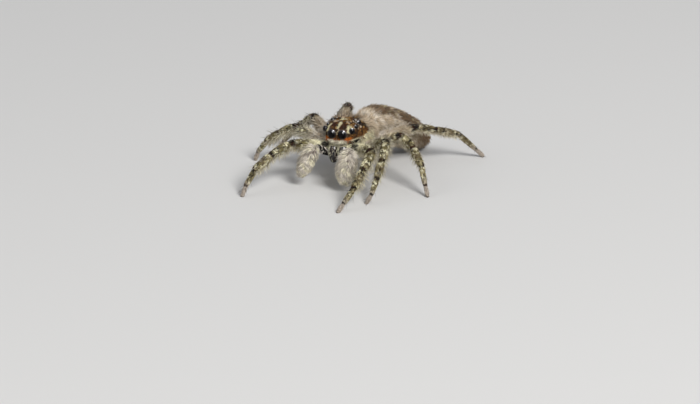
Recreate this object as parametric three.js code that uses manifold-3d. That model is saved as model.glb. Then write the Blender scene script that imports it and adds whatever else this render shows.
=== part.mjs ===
// A jumping spider at life size, standing on eight legs with its belly swung to the left of its head.
// Millimetres. +Z is up, -Y is ahead of the head, +X is the spider's own left, the feet stand on Z = 0,
// and the origin is on the floor under the middle of everything.
import * as THREE from "three";
import { mergeVertices } from "three/addons/utils/BufferGeometryUtils.js";
import Module from "manifold-3d";

const wasm = await Module();
wasm.setup();

// ---- driving sizes ----------------------------------------------------------------------------
const GAP = 0.1; // clearance between neighbouring pieces
const CLEAR = 0.13; // how far a form is grown where it cuts a neighbour back
const EYE_GAP = 0.04; // clearance round each eye in its socket
const SLIVER = 0.004; // a triangle thinner than this, which a cut leaves, is closed up
const HIPS_MIDDLE = [-0.03, -0.28, 2.12]; // between the eight hips: the zero of the front body's own frame
const NOSE_UP = 3.85; // degrees that the front body is pitched up
const LEFT_UP = 1.96; // degrees that its left side is raised

// The front body's own frame is written (ahead, side, up), from the middle of the hips.
// Shield over head and thorax: distance ahead, half width, height of the crown, height where it is
// widest, and its depth below that.
const SHIELD = [
  [2.0, 0.54, 1.1, 0.78, 0.4],
  [1.94, 0.69, 1.25, 0.8, 0.47],
  [1.78, 0.82, 1.38, 0.76, 0.48],
  [1.4, 0.95, 1.48, 0.6, 0.38],
  [0.9, 1.1, 1.55, 0.42, 0.2],
  [0.3, 1.28, 1.58, 0.3, 0.13],
  [-0.3, 1.4, 1.48, 0.27, 0.12],
  [-0.9, 1.36, 1.2, 0.27, 0.12],
  [-1.35, 1.12, 0.93, 0.28, 0.12],
  [-1.65, 0.78, 0.72, 0.3, 0.12],
  [-1.8, 0.42, 0.56, 0.34, 0.12],
];
const SHIELD_SQUARENESS = 3; // 2 is an ellipse

// Breastplate: distance ahead, half width, half height. Its middle lies this far below the hips.
const BREASTPLATE = [
  [1.3, 0.3, 0.2],
  [1.15, 0.44, 0.28],
  [0.6, 0.56, 0.33],
  [-0.1, 0.6, 0.34],
  [-0.8, 0.5, 0.32],
  [-1.3, 0.3, 0.26],
  [-1.5, 0.14, 0.16],
];
const BREASTPLATE_DROP = 0.3;

// Eyes: place of the eye (ahead, side, up), its radius, and how far its centre lies inside the shield.
const EYES = {
  middle_front: { at: [2.04, 0.33, 0.9], radius: 0.25, sunk: 0.12, fine: [14, 10] },
  side_front: { at: [1.78, 0.9, 1.13], radius: 0.16, sunk: 0.14, fine: [10, 7] },
  tiny: { at: [1.18, 0.93, 1.27], radius: 0.09, sunk: 0.07, fine: [8, 6] },
  rear: { at: [0.55, 0.9, 1.42], radius: 0.15, sunk: 0.12, fine: [10, 7] },
};

// Jaws: the bends of each, from the face down, and its radius there.
const JAW = { bends: [[1.68, 0.31, 0.11], [1.78, 0.31, -0.35], [1.64, 0.33, -0.86]], radii: [0.25, 0.23] };

// Waist, and belly: distance behind the waist, half width, half height, height above the floor.
const WAIST = { bends: [[-1.3, 0, -0.1], [-1.75, 0, -0.04], [-2.35, 0.08, 0.12]], radii: [0.17, 0.17] };
const BELLY = [
  [0.0, 0.4, 0.3, 2.36],
  [0.2, 0.84, 0.68, 2.37],
  [0.7, 1.24, 0.96, 2.37],
  [1.5, 1.48, 1.06, 2.18],
  [2.4, 1.5, 1.02, 1.84],
  [3.2, 1.34, 0.94, 1.45],
  [3.9, 1.04, 0.8, 1.07],
  [4.45, 0.72, 0.58, 0.79],
  [4.8, 0.4, 0.33, 0.62],
];
const BELLY_AHEAD = -2.13; // of the belly's front end
const BELLY_TURN = 29; // degrees that the belly swings towards the spider's left
const SPINNERETS = { spread: 0.17, length: 0.42, radius: 0.12 };

// Legs, front to rear: the hips (ahead, side), then thigh, knee, shin, heel and foot.
const HIPS = [[1.25, 1.15], [0.45, 1.5], [-0.45, 1.5], [-1.25, 1.2]];
const COXA_ROOT = { ahead: 0.75, side: 0.45, up: -0.27, radius: 0.31 }; // ahead is a share of the hip's
const LEG_LENGTHS = [
  [2.14, 1.28, 1.39, 1.07, 0.7],
  [1.98, 1.12, 1.23, 1.02, 0.66],
  [2.09, 1.02, 1.28, 1.18, 0.73],
  [2.51, 1.18, 1.71, 1.5, 0.83],
];
const LEG_RADII = [
  [0.36, 0.32, 0.29, 0.2, 0.15],
  [0.35, 0.3, 0.27, 0.19, 0.145],
  [0.35, 0.29, 0.26, 0.185, 0.14],
  [0.36, 0.3, 0.27, 0.19, 0.145],
];
// Each leg's direction from straight ahead, the lean of the plane that it bends in, and the slopes
// of its five segments, all in degrees.
const STANCE = {
  left: [
    { turn: 30, lean: 42, slopes: [15, -48, -47, -67, -66] },
    { turn: 37, lean: 31, slopes: [25, -51, -55, -62, -90] },
    { turn: 66, lean: 13, slopes: [22, -24, -43, -62, -61] },
    { turn: 132, lean: -4, slopes: [8, -14, -17, -44, -45] },
  ],
  right: [
    { turn: 41, lean: -12, slopes: [10, -20, -30, -51, -61] },
    { turn: 101, lean: 0, slopes: [16, -28, -35, -52, -68] },
    { turn: 128, lean: -15, slopes: [20.5, -36, -39, -48, -56] },
    { turn: 162, lean: -25, slopes: [28, -34, -35, -46, -55] },
  ],
};

// Feelers: bends (ahead, side, up) from the breastplate to the tip, and the way the leaf faces.
const FEELERS = {
  left: {
    bends: [
      [1.15, 0.38, -0.46],
      [1.46, 0.68, -0.42],
      [2.36, 1.0, 0.14],
      [2.76, 0.98, -0.4],
      [2.88, 0.75, -1.82],
    ],
    facing: 25,
  },
  right: {
    bends: [
      [1.15, -0.38, -0.46],
      [1.46, -0.68, -0.42],
      [2.34, -1.14, 0.12],
      [2.7, -1.36, -0.28],
      [2.84, -2.0, -1.62],
    ],
    facing: -38,
  },
};
const FEELER_RADII = [0.15, 0.19, 0.25, 0.27];
const FEELER_FLATNESS = 1.3; // width over depth of the end under its hair

// Locks of long hair: width and depth of one where it is widest, and how far it bends over its length.
const FRINGE_LOCK = { width: 0.5, depth: 0.16, bend: 0.2, shape: [[0, 0.7], [0.55, 0.95], [1, 0.1]] };
const FRINGE_REACH = [0.38, 0.36, 0.28, 0.24]; // past the skin, under each pair of legs
const FRINGE_STEP = [0.3, 0.32, 0.4, 0.44]; // between the roots of neighbouring locks along a leg
const BRUSH_SHAPE = [[0, 0.7], [0.4, 1], [0.75, 0.7], [1, 0.1]];
const BRUSH_LOCK = { width: 0.36, depth: 0.14, bend: 0.3, shape: BRUSH_SHAPE };
const BRUSH = { reach: 0.92, step: 0.18, tip: 0.42 }; // the locks on the feelers' ends
const DRAW_SEED = 20;

const COLOURS = {
  shield: 0x7a5a3a,
  eye: 0x060606,
  belly: 0xa8927a,
  jaw: 0x2a2019,
  underside: 0x6f6350,
  feeler: 0xcfc6b4,
  leg: 0x9a9068,
};

// ---- solids -----------------------------------------------------------------------------------
const vec = (x, y, z) => new THREE.Vector3(x, y, z);
const { degToRad } = THREE.MathUtils;
const ORIGIN = vec(0, 0, 0);
const UP = vec(0, 0, 1);

const bodyFrame = new THREE.Matrix4().compose(
  vec(...HIPS_MIDDLE),
  new THREE.Quaternion().setFromEuler(new THREE.Euler(-degToRad(NOSE_UP), -degToRad(LEFT_UP), 0)),
  vec(1, 1, 1),
);
const inBody = (ahead, side, up) => vec(side, -ahead, up).applyMatrix4(bodyFrame);

function solidOf(geometry, matrix = new THREE.Matrix4()) {
  const bare = new THREE.BufferGeometry();
  bare.setAttribute("position", geometry.getAttribute("position").clone());
  bare.setIndex(geometry.index);
  const merged = mergeVertices(bare.applyMatrix4(matrix), 1e-5);
  return new wasm.Manifold(
    new wasm.Mesh({
      numProp: 3,
      vertProperties: merged.getAttribute("position").array,
      triVerts: new Uint32Array(merged.index.array),
    }),
  );
}

// Closes up the slivers among the faces of a closed surface. One with a short edge goes as that edge
// shrinks to a point, and any other goes as its long edge turns to join the corners on either side.
function closeSlivers(points, faces) {
  const far = (a, b) => points[a].distanceTo(points[b]);
  const thickness = ([a, b, c]) => {
    const area = new THREE.Triangle(points[a], points[b], points[c]).getArea();
    return (2 * area) / Math.max(far(a, b), far(b, c), far(c, a));
  };
  const having = (...corners) => faces.filter((face) => corners.every((corner) => face.includes(corner)));
  const shrink = (a, b) => {
    const rings = [a, b].map((corner) => new Set(having(corner).flat()));
    const shared = [...rings[0]].filter((corner) => rings[1].has(corner));
    if (shared.length !== 4) return false;
    faces = faces.map((face) => face.map((corner) => (corner === b ? a : corner)));
    faces = faces.filter((face) => new Set(face).size === 3);
    return true;
  };
  const turnOver = (a, b, c) => {
    const pair = having(a, b);
    const d = pair.flat().find((corner) => ![a, b, c].includes(corner));
    const turned = [[a, d, c], [d, b, c]];
    const thinnest = (list) => Math.min(...list.map(thickness));
    if (having(c, d).length || thinnest(turned) <= thinnest(pair)) return false;
    faces = [...faces.filter((face) => !pair.includes(face)), ...turned];
    return true;
  };
  const byLength = (face) => {
    const edges = face.map((a, i) => [a, face[(i + 1) % 3], face[(i + 2) % 3]]);
    return edges.sort((one, other) => far(one[0], one[1]) - far(other[0], other[1]));
  };
  const closeUp = ([short, , long]) => {
    if (far(...short) < SLIVER) return shrink(...short);
    return turnOver(...long) || shrink(...short);
  };
  while (faces.some((face) => thickness(face) < SLIVER && closeUp(byLength(face))));
  return faces;
}

// The geometry of a solid's largest closed surface.
function geometryOf(solid) {
  const largest = solid.decompose().reduce((best, piece) => (piece.volume() > best.volume() ? piece : best));
  const { vertProperties, triVerts } = largest.getMesh();
  const threes = (list) =>
    Array.from({ length: list.length / 3 }, (_, i) => [...list.slice(3 * i, 3 * i + 3)]);
  const points = threes(vertProperties).map((point) => vec(...point));
  const faces = closeSlivers(points, threes(triVerts));
  return new THREE.BufferGeometry().setFromPoints(points).setIndex(faces.flat());
}

// A rounded ring: side and up are its half axes, and squareness is 2 on an ellipse.
function ringOf(middle, side, up, count, squareness = 2) {
  const bulge = (value) => Math.sign(value) * Math.abs(value) ** (2 / squareness);
  return Array.from({ length: count }, (_, i) => {
    const angle = ((i + 0.5) / count) * 2 * Math.PI;
    return middle
      .clone()
      .addScaledVector(side, bulge(Math.cos(angle)))
      .addScaledVector(up, bulge(Math.sin(angle)));
  });
}

// A closed skin over rings with equal numbers of points, each end closed by a fan round its middle.
function skinOver(rings) {
  const count = rings[0].length;
  const points = rings.flat();
  const faces = [];
  const next = (i) => (i + 1) % count;
  for (let row = 0; row + 1 < rings.length; row++)
    for (let i = 0; i < count; i++) {
      const a = row * count + i;
      const b = row * count + next(i);
      faces.push([a, b, a + count], [b, b + count, a + count]);
    }
  for (const row of [0, rings.length - 1]) {
    const middle = rings[row].reduce((sum, point) => sum.add(point), vec(0, 0, 0)).divideScalar(count);
    const hub = points.push(middle) - 1;
    for (let i = 0; i < count; i++) {
      const edge = [row * count + i, row * count + next(i)];
      faces.push(row === 0 ? [edge[1], edge[0], hub] : [edge[0], edge[1], hub]);
    }
  }
  const skin = (list) => solidOf(new THREE.BufferGeometry().setFromPoints(points).setIndex(list.flat()));
  const solid = skin(faces);
  return solid.volume() > 0 ? solid : skin(faces.map(([a, b, c]) => [b, a, c]));
}

// A tube along joints. shapes[s] has rows of [share of segment s, share of its radius]. facing is the
// way that its flatter side looks, and flatness is its width over its depth there.
function limbTube(joints, radii, shapes, { facing = UP, flatness = 1, sides = 10, grow = 0 } = {}) {
  const rows = [];
  for (let s = 0; s + 1 < joints.length; s++) {
    const along = joints[s + 1].clone().sub(joints[s]);
    const side = new THREE.Vector3().crossVectors(along, facing);
    const front = new THREE.Vector3().crossVectors(side, along);
    for (const [share, thick, wide = 0] of shapes[s]) {
      const depth = radii[s] * thick;
      const width = depth * (1 + (flatness - 1) * wide);
      const middle = joints[s].clone().addScaledVector(along, share);
      side.setLength(width + grow);
      front.setLength(depth + grow);
      rows.push({ middle, along, side: side.clone(), front: front.clone() });
    }
  }
  rows[0].middle.addScaledVector(rows[0].along.normalize(), -grow);
  rows.at(-1).middle.addScaledVector(rows.at(-1).along.normalize(), grow);
  return skinOver(rows.map(({ middle, side, front }) => ringOf(middle, side, front, sides)));
}

// The thin slab that parts a limb at a joint, square to the line halfway between its neighbours.
function jointCut(joints, j) {
  const along = joints[j + 1].clone().sub(joints[j]).normalize();
  along.add(joints[j].clone().sub(joints[j - 1]).normalize()).normalize();
  const turn = new THREE.Quaternion().setFromUnitVectors(UP, along);
  const place = new THREE.Matrix4().compose(joints[j], turn, vec(1, 1, 1));
  return solidOf(new THREE.BoxGeometry(2, 2, GAP), place);
}

// Parts a limb at the joints in cuts and gives the pieces in order from its root.
function partLimb(tube, joints, cuts) {
  const pieces = cuts.reduce((rest, j) => rest.subtract(jointCut(joints, j)), tube).decompose();
  const ends = [0, ...cuts, joints.length - 1];
  return ends.slice(1).map((end, i) => {
    const middle = (ends[i] + end) / 2;
    const spot = joints[Math.floor(middle)].clone().lerp(joints[Math.ceil(middle)], 0.5);
    const awayFromSpot = (piece) => {
      const { min, max } = piece.boundingBox();
      return vec(...min).add(vec(...max)).multiplyScalar(0.5).distanceTo(spot);
    };
    return pieces.reduce((best, piece) => (awayFromSpot(piece) < awayFromSpot(best) ? piece : best));
  });
}

// A repeatable draw between 1 - range and 1 + range.
let drawState = DRAW_SEED;
function vary(range) {
  drawState = (Math.imul(drawState, 1664525) + 1013904223) >>> 0;
  return 1 + range * (drawState / 2 ** 31 - 1);
}

// One flat, tapered lock: it leaves its root along way, bends over to lie, and its flat side faces face.
function lock({ width, depth, bend, shape }, root, way, lie, face, length) {
  const side = new THREE.Vector3().crossVectors(way, face).normalize();
  const front = new THREE.Vector3().crossVectors(side, way).normalize();
  const reach = way.clone().setLength(length);
  const bent = lie.clone().setLength(length * bend * vary(0.4));
  const rings = shape.map(([share, size]) => {
    const middle = root.clone().addScaledVector(reach, share).addScaledVector(bent, share * share);
    const half = side.clone().multiplyScalar((width / 2) * size);
    return ringOf(middle, half, front.clone().multiplyScalar((depth / 2) * size), 4);
  });
  return skinOver(rings);
}

const spider = new THREE.Group();
function addNode(name, solid, colour, roughness = 0.85) {
  const material = new THREE.MeshStandardMaterial({ color: colour, roughness, metalness: 0 });
  const mesh = new THREE.Mesh(geometryOf(solid), material);
  mesh.name = name;
  spider.add(mesh);
}

// ---- front body -------------------------------------------------------------------------------
function shield(grow) {
  const rings = SHIELD.map(([ahead, half, crown, rim, floor], row) => {
    const end = row === 0 ? grow : row === SHIELD.length - 1 ? -grow : 0;
    const flat = ringOf(ORIGIN, vec(half + grow, 0, 0), vec(0, 0, 1), 22, SHIELD_SQUARENESS);
    return flat.map(({ x, z }) => {
      const height = z > 0 ? z * (crown - rim + grow) : z * (floor + grow);
      return inBody(ahead + end, x, rim + height);
    });
  });
  return skinOver(rings);
}

function breastplate(grow) {
  const across = inBody(0, 1, 0).sub(inBody(0, 0, 0));
  const upward = inBody(0, 0, 1).sub(inBody(0, 0, 0));
  const rings = BREASTPLATE.map(([ahead, half, tall], row) => {
    const end = row === 0 ? grow : row === BREASTPLATE.length - 1 ? -grow : 0;
    const middle = inBody(ahead + end, 0, -BREASTPLATE_DROP);
    return ringOf(middle, across.clone().setLength(half + grow), upward.clone().setLength(tall + grow), 14);
  });
  return skinOver(rings);
}

const JAW_SHAPE = [
  [[0, 0.8], [0.3, 1], [0.75, 1.05]],
  [[0.2, 1.1], [0.6, 1], [0.9, 0.75], [1, 0.4]],
];
const jaw = (sign, grow) =>
  limbTube(JAW.bends.map(([ahead, side, up]) => inBody(ahead, sign * side, up)), JAW.radii, JAW_SHAPE, {
    facing: vec(0, -1, 0),
    sides: 12,
    grow,
  });

const grownShield = shield(CLEAR);
const grownPlate = breastplate(CLEAR);
const grownJaws = jaw(1, CLEAR).add(jaw(-1, CLEAR));

function eye(sign, { at: [ahead, side, up], sunk }) {
  const place = inBody(ahead, sign * side, up);
  const outward = side < 0.5 ? vec(sign * 0.05, -1, 0.02) : place.clone().sub(inBody(0.4, 0, 0.8));
  return place.addScaledVector(outward.normalize(), -sunk);
}

let headShield = shield(0);
for (const [side, sign] of [["left", 1], ["right", -1]])
  for (const [name, form] of Object.entries(EYES)) {
    const place = new THREE.Matrix4().setPosition(eye(sign, form));
    const ball = (radius) => solidOf(new THREE.SphereGeometry(radius, ...form.fine), place);
    headShield = headShield.subtract(ball(form.radius + EYE_GAP));
    addNode(`eye_${name}_${side}`, ball(form.radius), COLOURS.eye, 0.1);
  }
addNode("carapace", headShield, COLOURS.shield);
addNode("sternum", breastplate(0), COLOURS.underside);
addNode("chelicera_left", jaw(1, 0), COLOURS.jaw, 0.3);
addNode("chelicera_right", jaw(-1, 0), COLOURS.jaw, 0.3);

// ---- belly ------------------------------------------------------------------------------------
const waistEnd = inBody(BELLY_AHEAD, 0, 0);
const bellyBack = vec(Math.sin(degToRad(BELLY_TURN)), Math.cos(degToRad(BELLY_TURN)), 0);
const bellySide = new THREE.Vector3().crossVectors(UP, bellyBack);
const bellyLine = new THREE.CatmullRomCurve3(
  BELLY.map(([back, , , height]) => waistEnd.clone().addScaledVector(bellyBack, back).setZ(height)),
);

function belly(grow) {
  const rings = BELLY.map(([, half, tall], row) => {
    const at = row / (BELLY.length - 1);
    const along = bellyLine.getTangent(at);
    const end = row === 0 ? -grow : row === BELLY.length - 1 ? grow : 0;
    const middle = bellyLine.getPoint(at).addScaledVector(along, end);
    const up = new THREE.Vector3().crossVectors(along, bellySide);
    return ringOf(middle, bellySide.clone().setLength(half + grow), up.setLength(tall + grow), 22, 2.15);
  });
  return skinOver(rings);
}

const grownBelly = belly(CLEAR);
addNode("abdomen", belly(0), COLOURS.belly);

const waist = limbTube(WAIST.bends.map((bend) => inBody(...bend)), WAIST.radii, [
  [[0, 1], [0.8, 1]],
  [[0.2, 1], [1, 1]],
]);
addNode("pedicel", waist.subtract(grownPlate).subtract(grownShield).subtract(grownBelly), COLOURS.underside);

const tail = bellyLine.getPoint(1);
const tailWay = bellyLine.getTangent(1);
const tailUp = new THREE.Vector3().crossVectors(tailWay, bellySide);
const spinnerets = [45, 135, 225, 315].map((degrees) => {
  const offset = bellySide
    .clone()
    .multiplyScalar(Math.cos(degToRad(degrees)))
    .addScaledVector(tailUp, Math.sin(degToRad(degrees)))
    .multiplyScalar(SPINNERETS.spread);
  const root = tail.clone().addScaledVector(offset, 0.55);
  const tip = tail.clone().add(offset).addScaledVector(tailWay, SPINNERETS.length);
  return limbTube([root, tip], [SPINNERETS.radius], [[[0, 1.2], [0.8, 0.9], [1, 0.4]]], { sides: 6 });
});
addNode("spinnerets", wasm.Manifold.union(spinnerets).subtract(grownBelly), COLOURS.underside);

// ---- feelers ----------------------------------------------------------------------------------
const FEELER_SHAPE = [
  [[0.1, 1], [0.8, 0.95]],
  [[0.15, 0.8], [0.5, 1.05], [0.93, 0.95]],
  [[0.12, 0.95], [0.9, 0.95, 0.5]],
  [[0.08, 0.9, 0.6], [0.35, 1.02, 1], [0.62, 0.85, 1], [0.8, 0.45, 1]],
];

function feeler(side, grow) {
  const { bends, facing } = FEELERS[side];
  const joints = bends.map((bend) => inBody(...bend));
  const look = vec(Math.sin(degToRad(facing)), -Math.cos(degToRad(facing)), 0);
  const tube = limbTube(joints, FEELER_RADII, FEELER_SHAPE, {
    facing: look,
    flatness: FEELER_FLATNESS,
    sides: 8,
    grow,
  });
  return { joints, look, tube };
}

// The white brush of one feeler: locks that stand out to both sides of its last two segments, a row
// down its front and its back, and a few over its tip.
function brush(joints, look) {
  const locks = [];
  for (const [s, from, to, reach] of [[2, 0.15, 0.8, 0.95], [3, 0.08, 0.84, 1]]) {
    const along = joints[s + 1].clone().sub(joints[s]);
    const across = new THREE.Vector3().crossVectors(along, look).normalize();
    const run = along.clone().normalize();
    const count = Math.round((along.length() * (to - from)) / BRUSH.step);
    for (let i = 0; i < count; i++) {
      const share = from + ((to - from) * (i + 0.5)) / count;
      const root = joints[s].clone().addScaledVector(along, share);
      const length = BRUSH.reach * reach * (1 - 0.62 * share) * vary(0.1);
      for (const sign of [1, -1]) {
        const sweep = (0.35 + 1.3 * share) * vary(0.15);
        const way = across.clone().multiplyScalar(sign).addScaledVector(run, sweep);
        const raised = root.clone().addScaledVector(look, 0.07 * sign * (i % 2 ? 1 : -1));
        locks.push(lock(BRUSH_LOCK, raised, way, run, look, length));
      }
      const outward = look.clone().multiplyScalar(i % 2 ? 1 : -1);
      const way = run.clone().addScaledVector(outward, 0.7);
      const raised = root.clone().addScaledVector(outward, 0.08);
      locks.push(lock(BRUSH_LOCK, raised, way, run, outward, length * 0.65));
    }
  }
  const run = joints[4].clone().sub(joints[3]).normalize();
  const across = new THREE.Vector3().crossVectors(run, look);
  for (const spread of [-0.5, 0, 0.5]) {
    const root = joints[4].clone().addScaledVector(run, -BRUSH.tip).addScaledVector(across, spread * 0.2);
    const way = run.clone().addScaledVector(across, spread);
    locks.push(lock(BRUSH_LOCK, root, way, run, look, BRUSH.tip * 0.85));
  }
  return locks;
}

for (const side of ["left", "right"]) {
  const { joints, look, tube } = feeler(side, 0);
  const hairy = wasm.Manifold.union([tube, ...brush(joints, look)]);
  const free = hairy.subtract(grownPlate).subtract(grownJaws).subtract(grownShield);
  const pieces = partLimb(free, joints, [2, 3]);
  ["femur", "tibia", "tarsus"].forEach((name, i) =>
    addNode(`palp_${side}_${name}`, pieces[i], COLOURS.feeler),
  );
}
const grownFeelers = feeler("left", CLEAR).tube.add(feeler("right", CLEAR).tube);

// ---- legs -------------------------------------------------------------------------------------
const LEG_SHAPE = [
  [[0.1, 0.9], [0.9, 0.95]],
  [[0.07, 0.7], [0.3, 1], [0.65, 1], [0.93, 0.8]],
  [[0.1, 0.92], [0.5, 1], [0.92, 0.9]],
  [[0.1, 0.92], [0.45, 1], [0.92, 0.8]],
  [[0.08, 0.98], [0.5, 0.95], [0.93, 0.85]],
  [[0.1, 0.95], [0.6, 1], [1, 0.8]],
];

function legJoints(side, n) {
  const sign = side === "left" ? 1 : -1;
  const { turn, lean, slopes } = STANCE[side][n];
  const [hipAhead, hipSide] = HIPS[n];
  const out = vec(sign * Math.sin(degToRad(turn)), -Math.cos(degToRad(turn)), 0);
  const across = new THREE.Vector3().crossVectors(UP, out);
  const upward = UP.clone().multiplyScalar(Math.cos(degToRad(lean)));
  upward.addScaledVector(across, Math.sin(degToRad(lean)));
  const root = inBody(hipAhead * COXA_ROOT.ahead, sign * COXA_ROOT.side, COXA_ROOT.up);
  const joints = [root, inBody(hipAhead, sign * hipSide, 0)];
  slopes.forEach((degrees, s) => {
    const reach = out.clone().multiplyScalar(Math.cos(degToRad(degrees)));
    reach.addScaledVector(upward, Math.sin(degToRad(degrees)));
    joints.push(joints.at(-1).clone().addScaledVector(reach, LEG_LENGTHS[n][s]));
  });
  return joints;
}

// The fringe under one leg: two rows of locks, turn about, that lean out along the leg.
const FRINGED = [[1, 0.24, 0.8], [2, 0.12, 0.66], [3, 0.12, 0.66]]; // segment, and the stretch of it
function fringe(joints, radii, reach, step) {
  const locks = [];
  for (const [s, from, to] of FRINGED) {
    const along = joints[s + 1].clone().sub(joints[s]);
    const run = along.clone().normalize();
    const across = new THREE.Vector3().crossVectors(along, UP).normalize();
    const under = new THREE.Vector3().crossVectors(along, across).normalize();
    const count = Math.max(2, Math.round((along.length() * (to - from)) / step) + 1);
    for (let i = 0; i < count; i++) {
      const share = from + ((to - from) * i) / (count - 1);
      const outward = under.clone().addScaledVector(across, i % 2 ? 0.22 : -0.22).normalize();
      const root = joints[s].clone().addScaledVector(along, share).addScaledVector(outward, radii[s] * 0.35);
      const way = outward.clone().addScaledVector(run, 0.6 * vary(0.2));
      const length = (radii[s] * 0.75 + reach) * vary(0.16);
      locks.push(lock(FRINGE_LOCK, root, way, run, across, length));
    }
  }
  return locks;
}

// The legs beside one leg, bare and grown, to cut its fringe clear of them.
const otherLegs = (side, n) =>
  [n - 1, n + 1]
    .filter((other) => HIPS[other])
    .map((other) =>
      limbTube(legJoints(side, other).slice(1), LEG_RADII[other], LEG_SHAPE.slice(1), {
        sides: 8,
        grow: CLEAR,
      }),
    );

const underFloor = solidOf(new THREE.BoxGeometry(40, 40, 4), new THREE.Matrix4().makeTranslation(0, 0, -2));
const roundLegs = [grownPlate, grownShield, grownBelly, grownFeelers, underFloor];

for (const side of ["left", "right"])
  for (let n = 0; n < HIPS.length; n++) {
    const joints = legJoints(side, n);
    const radii = [COXA_ROOT.radius, ...LEG_RADII[n]];
    const tube = limbTube(joints, radii, LEG_SHAPE, { sides: 8 });
    const hairy = wasm.Manifold.union([tube, ...fringe(joints, radii, FRINGE_REACH[n], FRINGE_STEP[n])]);
    const free = [...roundLegs, ...otherLegs(side, n)].reduce((rest, solid) => rest.subtract(solid), hairy);
    const pieces = partLimb(free, joints, [1, 2, 4]);
    ["coxa", "femur", "tibia", "tarsus"].forEach((name, i) =>
      addNode(`leg_${side}_${n + 1}_${name}`, pieces[i], COLOURS.leg),
    );
  }

export default spider;
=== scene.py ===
# %% [markdown]
# # A jumping spider and its coat
#
# This notebook dresses the plain solids of a life-size jumping spider. A real one is a thin shell under
# a dense coat of flat hairs, and nearly all of its colour is in those hairs. So the lesson is built in
# three layers: one smooth skin, the markings as a formula that skin and hairs share, and the hairs
# themselves, planted by Geometry Nodes. Everything is modelled in millimetres and shrunk to metres at
# the end, because Blender's remesher can't make its cells small enough for a 9 mm animal in metres.

# %% Load the frame
import math

import bmesh
import bpy
import numpy as np
from mathutils import Matrix, Vector


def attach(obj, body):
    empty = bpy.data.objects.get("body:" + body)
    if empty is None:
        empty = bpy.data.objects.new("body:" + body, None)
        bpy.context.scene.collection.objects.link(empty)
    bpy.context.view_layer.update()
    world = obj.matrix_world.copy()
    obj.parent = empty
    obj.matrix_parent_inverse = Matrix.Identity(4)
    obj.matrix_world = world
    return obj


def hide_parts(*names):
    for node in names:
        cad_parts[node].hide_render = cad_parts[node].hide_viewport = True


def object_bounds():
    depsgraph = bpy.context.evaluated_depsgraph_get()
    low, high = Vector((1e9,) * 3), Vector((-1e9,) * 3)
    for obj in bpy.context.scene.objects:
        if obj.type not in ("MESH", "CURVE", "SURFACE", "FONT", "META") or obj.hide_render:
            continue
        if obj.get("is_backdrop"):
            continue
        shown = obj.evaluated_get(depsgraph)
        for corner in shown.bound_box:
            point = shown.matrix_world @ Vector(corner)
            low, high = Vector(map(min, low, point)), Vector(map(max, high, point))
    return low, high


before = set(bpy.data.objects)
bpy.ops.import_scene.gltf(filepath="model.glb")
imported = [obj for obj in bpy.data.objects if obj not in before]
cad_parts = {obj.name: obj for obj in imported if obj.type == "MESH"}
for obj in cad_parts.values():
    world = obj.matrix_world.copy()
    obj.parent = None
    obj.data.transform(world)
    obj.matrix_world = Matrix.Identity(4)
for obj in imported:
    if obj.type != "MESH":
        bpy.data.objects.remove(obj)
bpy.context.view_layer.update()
MILLIMETRE = 0.001
BODY = "root"

# %% [markdown]
# ## The sizes
#
# A spider's skin could be cut out of the solids, but their locks of hair would come with it. It is
# cleaner to grow it from the same named sizes as the solids: the head shield, the breastplate, the belly
# and the joints of the limbs. The front body has a frame of its own, written (ahead, side, up), because
# the animal lifts its nose a little.

# %% Sizes of the body, in millimetres and degrees
HIPS_MIDDLE = np.array([-0.03, -0.28, 2.12])
NOSE_UP = 3.85
LEFT_UP = 1.96
SHIELD = [  # ahead, half width, height of the crown, height where it is widest, depth below that
    (2.0, 0.54, 1.1, 0.78, 0.4),
    (1.94, 0.69, 1.25, 0.8, 0.47),
    (1.78, 0.82, 1.38, 0.76, 0.48),
    (1.4, 0.95, 1.48, 0.6, 0.38),
    (0.9, 1.1, 1.55, 0.42, 0.2),
    (0.3, 1.28, 1.58, 0.3, 0.13),
    (-0.3, 1.4, 1.48, 0.27, 0.12),
    (-0.9, 1.36, 1.2, 0.27, 0.12),
    (-1.35, 1.12, 0.93, 0.28, 0.12),
    (-1.65, 0.78, 0.72, 0.3, 0.12),
    (-1.8, 0.42, 0.56, 0.34, 0.12),
]
SHIELD_SQUARENESS = 3
BREASTPLATE = [  # ahead, half width, half height
    (1.3, 0.3, 0.2),
    (1.15, 0.44, 0.28),
    (0.6, 0.56, 0.33),
    (-0.1, 0.6, 0.34),
    (-0.8, 0.5, 0.32),
    (-1.3, 0.3, 0.26),
    (-1.5, 0.14, 0.16),
]
BREASTPLATE_DROP = 0.3
BREASTPLATE_COAT = 0.04  # the skin lies this far inside the solid
BELLY = [  # behind the waist, half width, half height, height of the middle
    (0.0, 0.4, 0.3, 2.36),
    (0.2, 0.84, 0.68, 2.37),
    (0.7, 1.24, 0.96, 2.37),
    (1.5, 1.48, 1.06, 2.18),
    (2.4, 1.5, 1.02, 1.84),
    (3.2, 1.34, 0.94, 1.45),
    (3.9, 1.04, 0.8, 1.07),
    (4.45, 0.72, 0.58, 0.79),
    (4.8, 0.4, 0.33, 0.62),
]
BELLY_AHEAD = -2.13
BELLY_TURN = 29
BELLY_SQUARENESS = 2.15
WAIST = [(-1.3, 0, -0.1), (-1.75, 0, -0.04), (-2.35, 0.08, 0.12)]
WAIST_RADIUS = 0.17
SPINNERETS = {"spread": 0.17, "length": 0.42, "radius": 0.12, "sunk": 0.2, "root_spread": 0.55}
JAW_BENDS = [(1.68, 0.31, 0.11), (1.78, 0.31, -0.35), (1.64, 0.33, -0.86)]
JAW_RADII = [0.25, 0.23]
EYES = {  # place (ahead, side, up), radius, and how far the centre lies inside the shield
    "middle_front": ((2.04, 0.33, 0.9), 0.25, 0.12),
    "side_front": ((1.78, 0.9, 1.13), 0.16, 0.14),
    "tiny": ((1.18, 0.93, 1.27), 0.09, 0.07),
    "rear": ((0.55, 0.9, 1.42), 0.15, 0.12),
}

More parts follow.
